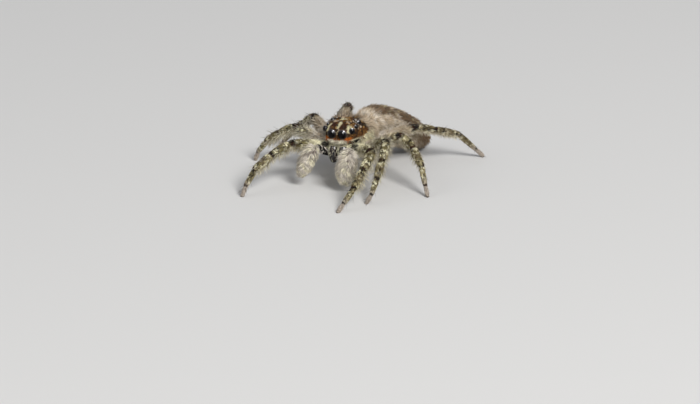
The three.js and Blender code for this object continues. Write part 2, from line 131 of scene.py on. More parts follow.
# %% Sizes of the limbs
HIPS = [(1.25, 1.15), (0.45, 1.5), (-0.45, 1.5), (-1.25, 1.2)]
COXA_ROOT = {"ahead": 0.75, "side": 0.45, "up": -0.27, "radius": 0.31}
LEG_LENGTHS = [
    (2.14, 1.28, 1.39, 1.07, 0.7),
    (1.98, 1.12, 1.23, 1.02, 0.66),
    (2.09, 1.02, 1.28, 1.18, 0.73),
    (2.51, 1.18, 1.71, 1.5, 0.83),
]
LEG_RADII = [
    (0.36, 0.32, 0.29, 0.2, 0.15),
    (0.35, 0.3, 0.27, 0.19, 0.145),
    (0.35, 0.29, 0.26, 0.185, 0.14),
    (0.36, 0.3, 0.27, 0.19, 0.145),
]
STANCE = {  # each leg's turn from straight ahead, lean, and the slopes of its five segments
    "left": [
        (30, 42, (15, -48, -47, -67, -66)),
        (37, 31, (25, -51, -55, -62, -90)),
        (66, 13, (22, -24, -43, -62, -61)),
        (132, -4, (8, -14, -17, -44, -45)),
    ],
    "right": [
        (41, -12, (10, -20, -30, -51, -61)),
        (101, 0, (16, -28, -35, -52, -68)),
        (128, -15, (20.5, -36, -39, -48, -56)),
        (162, -25, (28, -34, -35, -46, -55)),
    ],
}
FEELER_BENDS = {  # ahead, side, up
    "left": [
        (1.15, 0.38, -0.46),
        (1.46, 0.68, -0.42),
        (2.36, 1.0, 0.14),
        (2.76, 0.98, -0.4),
        (2.88, 0.75, -1.82),
    ],
    "right": [
        (1.15, -0.38, -0.46),
        (1.46, -0.68, -0.42),
        (2.34, -1.14, 0.12),
        (2.7, -1.36, -0.28),
        (2.84, -2.0, -1.62),
    ],
}
FEELER_FACING = {"left": 25, "right": -38}  # the way that the flat of the end faces, from straight ahead
FEELER_RADII = (0.15, 0.19, 0.25, 0.27)
FEELER_FLATNESS = 1.3
COAT_DEPTH = 0.07  # the skin of the body lies this far inside the solids
LEG_SKIN = 0.7  # of the solid's radius, because the rest is hair
FEELER_SKIN = 0.88
SIDES = {"left": 1, "right": -1}

# %% The front body's own frame
BODY_TURN = np.array(
    Matrix.Rotation(-math.radians(NOSE_UP), 3, "X") @ Matrix.Rotation(-math.radians(LEFT_UP), 3, "Y")
)


def in_body(ahead, side, up):
    """A place on the front body, in the frame of the whole spider."""
    return HIPS_MIDDLE + BODY_TURN @ np.array([side, -ahead, up])


def unit(vector):
    vector = np.asarray(vector, float)
    return vector / np.maximum(np.linalg.norm(vector, axis=-1, keepdims=True), 1e-9)


UP = np.array([0.0, 0.0, 1.0])
BODY_AHEAD = in_body(1, 0, 0) - in_body(0, 0, 0)
BODY_SIDE = in_body(0, 1, 0) - in_body(0, 0, 0)
BODY_UP = in_body(0, 0, 1) - in_body(0, 0, 0)
FORWARD_LOOK = (0.05, -1, 0.02)  # of the big front pair
LOOK_FROM = (0.4, 0, 0.8)  # the place in the head that the small eyes look away from
FRONT_PAIR_ASIDE = 0.5  # only the big front pair lies nearer to the middle than this


def eye_outward(sign, place):
    """The way that an eye looks."""
    ahead, side, up = place
    if side < FRONT_PAIR_ASIDE:
        return unit(np.array(FORWARD_LOOK) * (sign, 1, 1))
    return unit(in_body(ahead, sign * side, up) - in_body(*LOOK_FROM))


def eye_middle(sign, place, sunk):
    ahead, side, up = place
    return in_body(ahead, sign * side, up) - eye_outward(sign, place) * sunk


# %% [markdown]
# ## One skin
#
# The skin of a spider has no seams where its limbs join it, only narrow necks. It could be sculpted, or
# skinned over a skeleton. Here each form is lofted over rings, all the forms are fused by a voxel remesh,
# and a light smoothing rounds the necks. The remesh forgets everything but shape, so the lofts are kept
# as a map: any point of the skin can ask the nearest loft where on the animal it is, which way the hair
# lies there and how long it grows.

# %% Rings and lofts
RING = 40
SMOOTH_STEPS = 5


def smooth_rows(rows, steps=SMOOTH_STEPS):
    """Rows of numbers with Catmull-Rom rows between them."""
    rows = np.asarray(rows, float)
    padded = np.vstack([2 * rows[0] - rows[1], rows, 2 * rows[-1] - rows[-2]])
    made = []
    for a, b, c, d in zip(padded, padded[1:], padded[2:], padded[3:]):
        for t in np.arange(steps) / steps:
            square, cube = 2 * a - 5 * b + 4 * c - d, 3 * b - a - 3 * c + d
            made.append(0.5 * (2 * b + (c - a) * t + square * t**2 + cube * t**3))
    return np.array([*made, rows[-1]])


ANGLES = (np.arange(RING) + 0.5) / RING * 2 * math.pi


def bulge(value, squareness):
    return np.sign(value) * np.abs(value) ** (2 / squareness)


def fade(value, low, high):
    """0 below low and 1 above high."""
    return np.clip((value - low) / (high - low), 0, 1)


lofts = []  # the forms, each a grid of points with what the map says at each of them
NO_SHAG = ((0, 0, -1), 0.3, 20, 0)
COAT_WORDS = ("lie", "length", "lift", "cover")
VECTOR = "FLOAT_VECTOR"
MAP_WORDS = {"place": VECTOR, "kind": VECTOR, "bristle_cover": "FLOAT"}
for layer in ("fur", "shag"):
    MAP_WORDS |= {f"{layer}_{word}": VECTOR if word == "lie" else "FLOAT" for word in COAT_WORDS}


def add_loft(owner, kind, grid, place, fur, shag=NO_SHAG, bristle=0.0):
    """Keeps one form, whose grid is rows of rings of points, with what the map says there.

    fur and shag are the way that the hair lies, its length in millimetres, its lift off the skin in
    degrees, and the share of the skin that it covers. bristle is that share for the bristles.
    """
    said = {"place": place, "kind": kind, "bristle_cover": bristle}
    for layer, values in (("fur", fur), ("shag", shag)):
        said |= {f"{layer}_{word}": value for word, value in zip(COAT_WORDS, values)}
    form = {"owner": owner, "grid": grid}
    for word, value in said.items():
        width = (3,) if MAP_WORDS[word] == VECTOR else ()
        form[word] = np.broadcast_to(np.asarray(value, float), grid.shape[:2] + width).copy()
    lofts.append(form)


def backwards(grid):
    """The way down each row of a form, from its first ring to its last."""
    return unit(np.gradient(grid, axis=0))


# %% Head shield, breastplate and trunk
ON_BODY, ON_LEG, ON_FEELER, ON_BELLY = (0, 0, 0), (1, 0, 0), (0, 1, 0), (0, 0, 1)
HEAD, BELLY_PIECE, FRONT_LEFT, REAR_LEFT, FRONT_RIGHT, REAR_RIGHT, FEELER, JAW = range(8)
SHIELD_END = (1.6, 0.2)  # how far ahead or behind the end draws in, and over what length
LOWER_DEPTH = 0.6  # of the coat's depth, under the shield's edge


def shield_grid(depth):
    """The head shield's rings, inside the solid by the depth, and where each point is on the body."""
    grid, place = [], []
    for ahead, half, crown, widest, below in smooth_rows(SHIELD):
        start, length = SHIELD_END
        end = depth * np.clip(abs(ahead) - start, 0, length) / length * np.sign(ahead)
        across = bulge(np.cos(ANGLES), SHIELD_SQUARENESS) * (half - depth)
        rise = bulge(np.sin(ANGLES), SHIELD_SQUARENESS)
        up = widest + rise * np.where(rise > 0, crown - widest - depth, below - depth * LOWER_DEPTH)
        spots = [(ahead - end, x, z) for x, z in zip(across, up)]
        place.append(spots)
        grid.append([in_body(*spot) for spot in spots])
    return np.array(grid), np.array(place)


def body_rings(rows, height, inset=0.0):
    """Oval rings (ahead, half width, half height) about a level of the front body."""
    grid = []
    for ahead, half, tall in smooth_rows(rows):
        across, rise = np.cos(ANGLES) * (half - inset), np.sin(ANGLES) * (tall - inset)
        middle = in_body(ahead, 0, height)
        grid.append(middle + np.outer(across, BODY_SIDE) + np.outer(rise, BODY_UP))
    return np.array(grid)


grid, place = shield_grid(COAT_DEPTH)
ahead, up = place[..., 0], place[..., 2]
low = 1 - fade(up, 0.35, 0.75)
behind = 1 - fade(ahead, -0.1, 0.5)
face = fade(ahead, 1.6, 1.85)
lie = unit(backwards(grid) - BODY_UP * (0.9 * low + 0.4 * behind)[..., None])
fur = (lie, 0.08 + 0.1 * behind + 0.06 * low, 13 + 12 * behind + 7 * low, np.where(up > 0.2, 1, 0.4))
hanging = unit(-BODY_UP - BODY_AHEAD * 0.45 * (1 - face[..., None]) + backwards(grid) * 0.2)
cheek = fade(ahead, 0.9, 1.15) * (1 - face)
shag_cover = np.maximum(low, 0.6 * behind) * (1 - cheek)
shag = (hanging, 0.46 - 0.24 * face, 16 + 6 * behind, shag_cover)
add_loft(HEAD, ON_BODY, grid, place, fur, shag, bristle=fade(up, 1.0, 1.2))

plate = body_rings(BREASTPLATE, -BREASTPLATE_DROP, BREASTPLATE_COAT)
add_loft(HEAD, ON_BODY, plate, (0, 0, -0.5), (backwards(plate), 0.2, 20, 0.5))

TRUNK = [  # ahead, half width, half height
    (1.72, 0.5, 0.16),
    (1.3, 0.74, 0.26),
    (0.4, 0.98, 0.32),
    (-0.5, 0.98, 0.32),
    (-1.2, 0.74, 0.3),
    (-1.6, 0.3, 0.2),
]
TRUNK_HEIGHT = 0.08
trunk = body_rings(TRUNK, TRUNK_HEIGHT)
add_loft(HEAD, ON_BODY, trunk, (0, 0, 0.1), (backwards(trunk), 0.2, 20, 0.3))
print(f"{len(lofts)} forms in the front body")

# %% [markdown]
# ### The belly
#
# A well-fed spider's belly is a soft, egg-shaped bag on a thin waist, swung to one side as the animal
# turns. Its rings stand square to a line that sinks towards the spinnerets, so that it droops as one body.

# %% Belly, waist and spinnerets
waist_end = in_body(BELLY_AHEAD, 0, 0)
BELLY_BACK = np.array([math.sin(math.radians(BELLY_TURN)), math.cos(math.radians(BELLY_TURN)), 0])
BELLY_SIDE = np.cross(UP, BELLY_BACK)
belly_rows = smooth_rows(BELLY)
belly_middles = waist_end + np.outer(belly_rows[:, 0], BELLY_BACK)
belly_middles[:, 2] = belly_rows[:, 3]
belly_along = unit(np.gradient(belly_middles, axis=0))
across, rise = (bulge(turn, BELLY_SQUARENESS) for turn in (np.cos(ANGLES), np.sin(ANGLES)))
grid, place = [], []
for (back, half, tall, height), middle, along in zip(belly_rows, belly_middles, belly_along):
    wide = np.outer(across, BELLY_SIDE) * (half - COAT_DEPTH)
    high = np.outer(rise, np.cross(along, BELLY_SIDE)) * (tall - COAT_DEPTH)
    grid.append(middle + wide + high)
    place.append(np.stack([np.full(RING, back), np.cos(ANGLES), np.sin(ANGLES)], -1))
grid, place = np.array(grid), np.array(place)
down = fade(-place[..., 2], -0.75, 0.1)[..., None]
front = 1 - fade(place[..., 0], 0.8, 2.2)
fur = (unit(backwards(grid) - UP * 0.7 * down), 0.21, 18, 1)
shag_lie = unit(backwards(grid) * (1 - 0.55 * down) - UP * 1.3 * down)
shag = (shag_lie, 0.34 + 0.16 * down[..., 0], 20, 0.35 + 0.65 * np.maximum(down[..., 0], front))
add_loft(BELLY_PIECE, ON_BELLY, grid, place, fur, shag)


def tube(rows):
    """A grid over rows of (middle, side, front), each three numbers."""
    rows = np.asarray(rows)
    middle, side, front = rows[:, None, 0:3], rows[:, None, 3:6], rows[:, None, 6:9]
    return middle + side * np.cos(ANGLES)[:, None] + front * np.sin(ANGLES)[:, None]


def limb_rows(joints, radii, shape, facing, flatness=1.0):
    """Rows of (middle, side, front, along) down a limb.

    shape has, for each segment, (share of its length, share of its radius, share of the flatness).
    """
    rows = []
    for s, stops in enumerate(shape):
        along = joints[s + 1] - joints[s]
        across = unit(np.cross(along, facing))
        front = unit(np.cross(across, along))
        for share, thick, *wide in stops:
            reach = radii[s] * thick
            width = reach * (1 + (flatness - 1) * (wide[0] if wide else 0))
            rows.append([*(joints[s] + along * share), *across * width, *front * reach, s + share])
    return smooth_rows(rows, 3)


WAIST_SHAPE = [[(0, 1), (0.8, 1)], [(0.2, 1), (1, 1)]]
WAIST_SKIN = 0.8  # of the solid's radius
waist_bends = [in_body(*bend) for bend in WAIST]
waist = tube(limb_rows(waist_bends, [WAIST_RADIUS * WAIST_SKIN] * 2, WAIST_SHAPE, UP))
add_loft(BELLY_PIECE, ON_BODY, waist, (-1.7, 0, 0), (backwards(waist), 0.12, 20, 0.5))
SPINNERET_SHAPE = [[(0, 1), (0.5, 1), (0.8, 0.85), (0.97, 0.5)]]
SPINNERET_SKIN = 0.85  # of the solid's radius
SPINNERET_TIP = 0.03  # by which the skin is shorter
tail, tail_way = belly_middles[-1], belly_along[-1]
tail_up = np.cross(tail_way, BELLY_SIDE)
for angle in np.radians((45, 135, 225, 315)):
    offset = (BELLY_SIDE * math.cos(angle) + tail_up * math.sin(angle)) * SPINNERETS["spread"]
    root = tail - tail_way * SPINNERETS["sunk"] + offset * SPINNERETS["root_spread"]
    tip = tail + offset + tail_way * (SPINNERETS["length"] - SPINNERET_TIP)
    cone = tube(limb_rows([root, tip], [SPINNERETS["radius"] * SPINNERET_SKIN], SPINNERET_SHAPE, UP))
    add_loft(BELLY_PIECE, ON_BELLY, cone, (5.2, 0, 0), (backwards(cone), 0.12, 14, 0.7))
print(f"{len(lofts)} forms with the belly, waist and spinnerets")

# %% [markdown]
# ### The legs
#
# Each leg is a chain of segments that swell in the middle and pinch at the joints. It leans, so its bends
# lie in a tilted plane. The hair runs down the leg, hangs from the hip as a curtain, and makes a fringe
# under the thigh and shin. The map says so by how far down the leg a point is and how far underneath.

# %% Legs
LEG_SHAPE = [
    [(0.1, 0.86), (0.5, 0.95), (0.92, 0.85)],
    [(0.05, 0.68), (0.16, 0.84), (0.38, 1), (0.66, 1), (0.88, 0.87), (0.97, 0.72)],
    [(0.06, 0.76), (0.25, 0.95), (0.55, 1), (0.82, 0.92), (0.95, 0.76)],
    [(0.06, 0.78), (0.22, 0.95), (0.5, 1), (0.82, 0.88), (0.96, 0.74)],
    [(0.06, 0.84), (0.25, 0.98), (0.6, 0.92), (0.9, 0.84), (0.97, 0.74)],
    [(0.08, 0.84), (0.4, 0.98), (0.75, 0.92), (0.93, 0.72)],
]


def leg_joints(side, n):
    turn, lean, slopes = STANCE[side][n]
    turn, lean = math.radians(turn), math.radians(lean)
    out = np.array([SIDES[side] * math.sin(turn), -math.cos(turn), 0])
    upward = UP * math.cos(lean) + np.cross(UP, out) * math.sin(lean)
    hip_ahead, hip_side = HIPS[n]
    joints = [in_body(hip_ahead * COXA_ROOT["ahead"], SIDES[side] * COXA_ROOT["side"], COXA_ROOT["up"])]
    joints.append(in_body(hip_ahead, SIDES[side] * hip_side, 0))
    for degrees, length in zip(slopes, LEG_LENGTHS[n]):
        slope = math.radians(degrees)
        joints.append(joints[-1] + (out * math.cos(slope) + upward * math.sin(slope)) * length)
    return joints


LEG_PIECES = {
    "left": [FRONT_LEFT, FRONT_LEFT, REAR_LEFT, REAR_LEFT],
    "right": [FRONT_RIGHT, FRONT_RIGHT, REAR_RIGHT, REAR_RIGHT],
}
FRINGE_REACH = [0.5, 0.48, 0.38, 0.3]  # millimetres, from the first leg to the last
COXA_SKIN = 1.25  # the hip keeps more of the solid's thickness than the rest of the leg


def ring_places(rows):
    """How far down the limb each point is, in segments, and where it is on its ring."""
    along = np.broadcast_to(rows[:, 9:10], (len(rows), RING))
    return np.stack([along, np.cos(ANGLES) + 0 * along, np.sin(ANGLES) + 0 * along], -1)


leg_tips = []
for side in SIDES:
    for n in range(len(HIPS)):
        joints = leg_joints(side, n)
        leg_tips.append((joints[-2], joints[-1]))
        radii = LEG_SKIN * np.array([COXA_ROOT["radius"] * COXA_SKIN, *LEG_RADII[n]])
        rows = limb_rows(joints, radii, LEG_SHAPE, UP)
        grid, place = tube(rows), ring_places(rows)
        along, under = place[..., 0], fade(-place[..., 2], 0.0, 0.5)
        thin = fade(along, 3.5, 5.7)
        hip = (1 - fade(along, 1.2, 1.9)) * (0.2 if n == 0 else 1)
        lie = unit(backwards(grid) - UP * 1.8 * hip[..., None])
        fur = (lie, 0.17 - 0.06 * thin + 0.1 * hip, 17 - 3 * thin, fade(along, 0.25, 0.6))
        fringed = fade(along, 1.1, 1.4) * (1 - fade(along, 3.9, 4.2)) * (0.06 + 0.94 * under)
        curtain = hip * fade(along, 0.3, 0.6)
        shag_length = np.maximum(FRINGE_REACH[n], 0.45 * hip)
        shag = (lie, shag_length, 38 + 14 * under - 20 * hip, np.maximum(fringed, curtain))
        add_loft(LEG_PIECES[side][n], ON_LEG, grid, place, fur, shag, bristle=fade(along, 1.2, 1.5))
print(f"{len(leg_tips)} legs")

# %% [markdown]
# ### The feelers and the jaws
#
# The feelers hang beside the face like two small arms, and each ends in a leaf of long white hair. A leaf
# is flat, so its hairs lean out to both sides of one facing, further on the outer side. The jaws behind
# them are bare, dark and only thinly haired at the top.

# %% Feelers
FEELER_SHAPE = [
    [(0.1, 1), (0.8, 0.95)],
    [(0.12, 0.8), (0.5, 1.05), (0.93, 0.95)],
    [(0.1, 0.92), (0.5, 1.05), (0.92, 0.9, 0.5)],
    [(0.08, 0.86, 0.6), (0.35, 1.0, 1), (0.62, 0.85, 1), (0.8, 0.55, 1), (0.9, 0.36, 1)],
]
FAN = {"left": (20, 1.0), "right": (-5, 0.45)}  # the way that the leaf of hair faces, and its inner reach


def facing_way(degrees):
    """A level direction, in degrees from straight ahead towards the spider's left."""
    return np.array([math.sin(math.radians(degrees)), -math.cos(math.radians(degrees)), 0])


for side, bends in FEELER_BENDS.items():
    joints = [in_body(*bend) for bend in bends]
    radii, facing = FEELER_SKIN * np.array(FEELER_RADII), facing_way(FEELER_FACING[side])
    rows = limb_rows(joints, radii, FEELER_SHAPE, facing, FEELER_FLATNESS)
    grid, place = tube(rows), ring_places(rows)
    along, middle = place[..., 0], rows[:, None, 0:3]
    fan_way, inner = FAN[side]
    fan = unit(np.cross(backwards(middle), facing_way(fan_way)))
    spread = (unit(grid - middle) * fan).sum(-1)
    outward = fan * spread[..., None]
    leaf, tip = fade(along, 1.9, 2.3), fade(along, 2.8, 3.9)
    fur_lie = unit(backwards(grid) + outward * 0.7 * leaf[..., None])
    fur = (fur_lie, 0.15 + 0.09 * leaf, 15, 1)
    shag_lie = unit(backwards(grid) * (0.45 + 0.5 * tip[..., None]) + outward * 1.1 * leaf[..., None])
    reach = np.abs(spread) * np.where(spread > 0, 1, inner)
    shag = (shag_lie, 0.3 + 0.55 * reach * leaf * (1 - 0.7 * tip) - 0.1 * tip, 12, leaf)
    add_loft(FEELER, ON_FEELER, grid, place, fur, shag)
print(f"{len(FEELER_BENDS)} feelers")

# %% Jaws
JAW_SHAPE = [[(0, 0.8), (0.3, 1), (0.75, 1.05)], [(0.2, 1.1), (0.6, 1), (0.9, 0.75), (0.98, 0.4)]]
jaw_grids = {}
for side, sign in SIDES.items():
    bends = [in_body(a, sign * s, u) for a, s, u in JAW_BENDS]
    rows = limb_rows(bends, JAW_RADII, JAW_SHAPE, np.array([0, -1.0, 0]))
    jaw_grids[side] = grid = tube(rows)
    along = np.broadcast_to(rows[:, 9:10], grid.shape[:2])
    fur = (backwards(grid), 0.2, 12, 0.5 * (1 - fade(along, 0.5, 1.4)))
    add_loft(JAW, ON_FEELER, grid, (3.2, 0, 0.5), fur)
print(f"{len(lofts)} forms in all")

# %% [markdown]
# ### An unwrap that follows the forms
#
# The finished coat is baked later, and each hair then needs a place on a flat map of the skin. Blender
# could unwrap the remeshed skin, but it would cut it into many odd islands. A loft already has the best
# unwrap there is, round by along, so each form gets its own upright strip of the sheet.

# %% Lay the strips out and join the forms
SHEET = 21.0  # millimetres of skin across the unwrap
STRIP_MARGIN = 0.006


def lay_strips(forms):
    """The lower left corner and the size of each form's strip, in rows from the bottom."""
    sizes = []
    for form in forms:
        grid = form["grid"]
        closed = np.concatenate([grid, grid[:, :1]], 1)
        around = np.linalg.norm(np.diff(closed, axis=1), axis=-1).sum(1).max() / SHEET
        along = np.linalg.norm(np.diff(grid, axis=0), axis=-1).sum(0).mean() / SHEET
        sizes.append((around, along))
    order = sorted(range(len(forms)), key=lambda i: -sizes[i][1])
    places, x, y, shelf = {}, STRIP_MARGIN, STRIP_MARGIN, 0
    for i in order:
        width, height = sizes[i]
        if x + width > 1 - STRIP_MARGIN:
            x, y, shelf = STRIP_MARGIN, y + shelf + STRIP_MARGIN, 0
        places[i] = (x, y, width, height)
        x, shelf = x + width + STRIP_MARGIN, max(shelf, height)
    print(f"the strips fill {y + shelf:.2f} of the sheet's height")
    return [places[i] for i in range(len(forms))]


def side_faces(rows, ring, first=0):
    """The four-sided faces between rings of points that are counted from the first."""
    faces = []
    for row in range(rows - 1):
        for i in range(ring):
            a, b = first + row * ring + i, first + row * ring + (i + 1) % ring
            faces.append((a, b, b + ring, a + ring))
    return faces


def link(data, name):
    made = bpy.data.objects.new(name, data)
    bpy.context.scene.collection.objects.link(made)
    return made


def write_word(mesh, word, kind, domain, values):
    """Writes one value for each point, face or corner of a mesh under a word."""
    field = "vector" if kind == VECTOR else "value"
    values = np.asarray(values, np.int32 if kind == "INT" else np.float32)
    mesh.attributes.new(word, kind, domain).data.foreach_set(field, values.ravel())


def flat(spots):
    """Places on a sheet, as vectors."""
    return [(x, y, 0) for x, y in spots]


def join_lofts(forms):
    """One object of all the forms, closed at their ends, with what they say and their unwrap."""
    points, faces, unwrap, owners = [], [], [], []
    words = {word: [] for word in MAP_WORDS}
    for form, (left, bottom, width, height) in zip(forms, lay_strips(forms)):
        grid = form["grid"]
        rows, ring = grid.shape[:2]
        first = len(points)
        hub = first + rows * ring
        points += [*grid.reshape(-1, 3), grid[0].mean(0), grid[-1].mean(0)]
        for word in words:
            values = form[word].reshape(rows * ring, -1)
            words[word] += [*values, values[:ring].mean(0), values[-ring:].mean(0)]
        u = left + width * np.arange(0, ring + 1, 0.5) / ring  # at each point and half way to the next
        v = bottom + height * np.arange(rows) / (rows - 1)
        faces += side_faces(rows, ring, first)
        for low, high in zip(v, v[1:]):
            for i in range(0, 2 * ring, 2):
                unwrap += [(u[i], low), (u[i + 2], low), (u[i + 2], high), (u[i], high)]
        for i in range(ring):
            faces.append((first + (i + 1) % ring, first + i, hub))
            unwrap += [(u[2 * i + 2], v[0]), (u[2 * i], v[0]), (u[2 * i + 1], v[0])]
        for i in range(ring):
            faces.append((hub - ring + i, hub - ring + (i + 1) % ring, hub + 1))
            unwrap += [(u[2 * i], v[-1]), (u[2 * i + 2], v[-1]), (u[2 * i + 1], v[-1])]
        owners += [form["owner"]] * (len(faces) - len(owners))
    mesh = bpy.data.meshes.new("forms")
    mesh.from_pydata([tuple(p) for p in points], [], faces)
    for word, kind in MAP_WORDS.items():
        write_word(mesh, word, kind, "POINT", words[word])
    write_word(mesh, "owner", "INT", "FACE", owners)
    write_word(mesh, "unwrap", VECTOR, "CORNER", flat(unwrap))
    mesh.update()
    return link(mesh, "forms")


forms = join_lofts(lofts)
print(f"{len(forms.data.polygons)} faces in the map")

# %% [markdown]
# ## Nodes from expressions
#
# Both the hair and the markings are node trees, and a tree of forty Math nodes is hard to read. A small
# class wraps a socket and gives it Python's operators, so that a formula is written as a formula.

# %% Expressions that become nodes
class Value:
    """An output socket on which Python's operators add Math and Vector Math nodes."""

    def __init__(self, tree, socket):
        self.tree = tree
        self.socket = socket

    def math(self, operation, *others):
        sides = [self, *others]
        vectors = any(isinstance(s, Value) and s.socket.type in ("VECTOR", "RGBA") for s in sides)
        kind = "ShaderNodeVectorMath" if vectors else "ShaderNodeMath"
        return add_node(self.tree, kind, {"operation": operation}, dict(enumerate(sides)))

    def __add__(self, other):
        return self.math("ADD", other)

    def __sub__(self, other):
        return self.math("SUBTRACT", other)

    def __mul__(self, other):
        return self.math("MULTIPLY", other)

    def __rsub__(self, other):
        return (self * -1.0) + other

    def __abs__(self):
        return self.math("ABSOLUTE")

    __radd__ = __add__
    __rmul__ = __mul__

    def most(self, other):
        return self.math("MAXIMUM", other)

    def rise(self, low, high):
        """0 below low and 1 above high, with a soft step between them."""
        ends = {"Value": self, "From Min": low, "From Max": high}
        return add_node(self.tree, "ShaderNodeMapRange", {"interpolation_type": "SMOOTHSTEP"}, ends)

    def fall(self, low, high):
        return 1 - self.rise(low, high)

    def band(self, low, high, soft):
        """1 between low and high."""
        return self.rise(low - soft, low + soft) * self.fall(high - soft, high + soft)

    def parts(self):
        split = add_node(self.tree, "ShaderNodeSeparateXYZ", {}, {"Vector": self}, whole=True)
        return [Value(self.tree, split.outputs[i]) for i in range(3)]

    def noise(self, scale, detail=2.0, output="Fac"):
        """Soft random clouds over this place."""
        inputs = {"Vector": self, "Scale": scale, "Detail": detail}
        return add_node(self.tree, "ShaderNodeTexNoise", {}, inputs, output=output)

    def painted(self, over, share):
        """This colour with another laid over it, as far as the share says."""
        return blend(self, over, share)


def plug(tree, socket, value):
    """Links a value to a socket, or sets it as the socket's own."""
    if isinstance(value, Value):
        tree.links.new(value.socket, socket)
    elif socket.type == "VECTOR" and isinstance(value, (int, float)):
        socket.default_value = (value, value, value)
    elif socket.type == "RGBA" and len(value) == 3:
        socket.default_value = (*value, 1)
    else:
        socket.default_value = value


def add_node(tree, kind, settings, inputs, output=None, whole=False):
    """Adds a node, sets it up, plugs its sockets in, and gives an output, or the whole node."""
    node = tree.nodes.new(kind)
    for name, value in settings.items():
        setattr(node, name, value)
    for name, value in inputs.items():
        shown = [s for s in node.inputs if s.enabled and not s.is_unavailable]
        socket = shown[name] if isinstance(name, int) else next(s for s in shown if s.name == name)
        plug(tree, socket, value)
    if whole:
        return node
    shown = [s for s in node.outputs if s.enabled and not s.is_unavailable]
    return Value(tree, shown[0] if output is None else next(s for s in shown if s.name == output))


# %% [markdown]
# ## Growing the skin
#
# The remesh cell is a compromise: it has to be finer than the toes are thick, and coarse enough to keep
# the skin light. After it, a small tree of nodes asks the forms for the place, the kind and the ground
# under every point and writes the answers into the skin as attributes for the markings.

# %% Remesh, then write the map onto the skin
CELL = 0.055
RELAX = 5


def new_tree(name, inputs):
    """A Geometry Nodes tree with a geometry input and output, and named inputs by their kind."""
    tree = bpy.data.node_groups.new(name, "GeometryNodeTree")
    tree.interface.new_socket("Geometry", in_out="INPUT", socket_type="NodeSocketGeometry")
    tree.interface.new_socket("Geometry", in_out="OUTPUT", socket_type="NodeSocketGeometry")
    for kind, titles in inputs.items():
        for title in titles:
            tree.interface.new_socket(title, in_out="INPUT", socket_type="NodeSocket" + kind)
    entry = tree.nodes.new("NodeGroupInput")
    return tree, {s.name: Value(tree, s) for s in entry.outputs if s.name}


def end_tree(geometry):
    exit_node = geometry.tree.nodes.new("NodeGroupOutput")
    plug(geometry.tree, exit_node.inputs[0], geometry)


def set_inputs(modifier, values):
    """Sets a modifier's inputs by the identifiers of the tree's named sockets."""
    for item in modifier.node_group.interface.items_tree:
        if item.item_type == "SOCKET" and item.in_out == "INPUT" and item.name in values:
            modifier[item.identifier] = values[item.name]


def object_mesh(piece):
    """The mesh of an object that comes in through a socket."""
    return add_node(piece.tree, "GeometryNodeObjectInfo", {}, {"Object": piece}, output="Geometry")


def position(tree):
    return add_node(tree, "GeometryNodeInputPosition", {}, {})


def carried(tree, word, kind=VECTOR):
    """What the geometry itself carries under a word."""
    return add_node(tree, "GeometryNodeInputNamedAttribute", {"data_type": kind}, {"Name": word})


def sampled(mesh, word, kind=VECTOR):
    """What the forms say, at the nearest point of their surface, under one word."""
    tree = mesh.tree
    data = {"Mesh": mesh, "Value": carried(tree, word, kind), "Sample Position": position(tree)}
    return add_node(tree, "GeometryNodeSampleNearestSurface", {"data_type": kind}, data)


def stored(geometry, word, value, kind=VECTOR, domain="POINT"):
    """The geometry with a value written on it under a word."""
    settings = {"data_type": kind, "domain": domain}
    inputs = {"Geometry": geometry, "Name": word, "Value": value}
    return add_node(geometry.tree, "GeometryNodeStoreNamedAttribute", settings, inputs)


def mapping_tree():
    tree, given = new_tree("place on the spider", {"Object": ["Forms"]})
    mesh = object_mesh(given["Forms"])
    geometry = given["Geometry"]
    for word in ("place", "kind"):
        geometry = stored(geometry, word, sampled(mesh, word))
    end_tree(stored(geometry, "ground", position(tree)))
    return tree


def smooth(mesh):
    mesh.polygons.foreach_set("use_smooth", [True] * len(mesh.polygons))
    return mesh


def baked_mesh(made, name):
    """The object's mesh as its modifiers leave it, smooth."""
    graph = bpy.context.evaluated_depsgraph_get()
    final = made.evaluated_get(graph)
    mesh = bpy.data.meshes.new_from_object(final, preserve_all_data_layers=True, depsgraph=graph)
    mesh.name = name
    return smooth(mesh)


fused = join_lofts([form for form in lofts if form["owner"] != JAW])
remesh = fused.modifiers.new("fuse", "REMESH")
remesh.mode = "VOXEL"
remesh.voxel_size = CELL
relax = fused.modifiers.new("relax", "SMOOTH")
relax.factor, relax.iterations = 0.5, RELAX
skin = link(baked_mesh(fused, "skin"), "skin")
bpy.data.objects.remove(fused)
mapper = skin.modifiers.new("map", "NODES")
mapper.node_group = mapping_tree()
set_inputs(mapper, {"Forms": forms})
bpy.context.view_layer.update()
skin.data = baked_mesh(skin, "skin")
skin.modifiers.clear()
print(f"{len(skin.data.polygons)} faces in the skin")

# %% [markdown]
# ### Bare rings round the eyes
#
# Hair that grew over a lens would blind the animal, so it stops short of each eye and parts round it. The
# skin only has to say how bare it is, and which way is away from the eye. The planting reads both.

# %% Keep the hair off the eyes
EYE_MARGIN = 0.035
PARTING = (1.2, 1.8)  # the hair is parted this many radii from an eye, and at the second no more

spots = np.empty(len(skin.data.vertices) * 3, np.float32)
skin.data.vertices.foreach_get("co", spots)
spots = spots.reshape(-1, 3)
bare = np.zeros(len(spots), np.float32)
away = np.zeros_like(spots)
for sign in SIDES.values():
    for place, radius, sunk in EYES.values():
        offset = spots - eye_middle(sign, place, sunk)
        distance = np.linalg.norm(offset, axis=1)
        bare = np.maximum(bare, distance < radius + EYE_MARGIN)
        near, far = (radius * share for share in PARTING)
        away += unit(offset) * (1 - fade(distance, near, far))[:, None]
write_word(skin.data, "bare", "FLOAT", "POINT", bare)
write_word(skin.data, "away", VECTOR, "POINT", away)
print(f"{int(bare.sum())} points of the skin lie round the eyes")

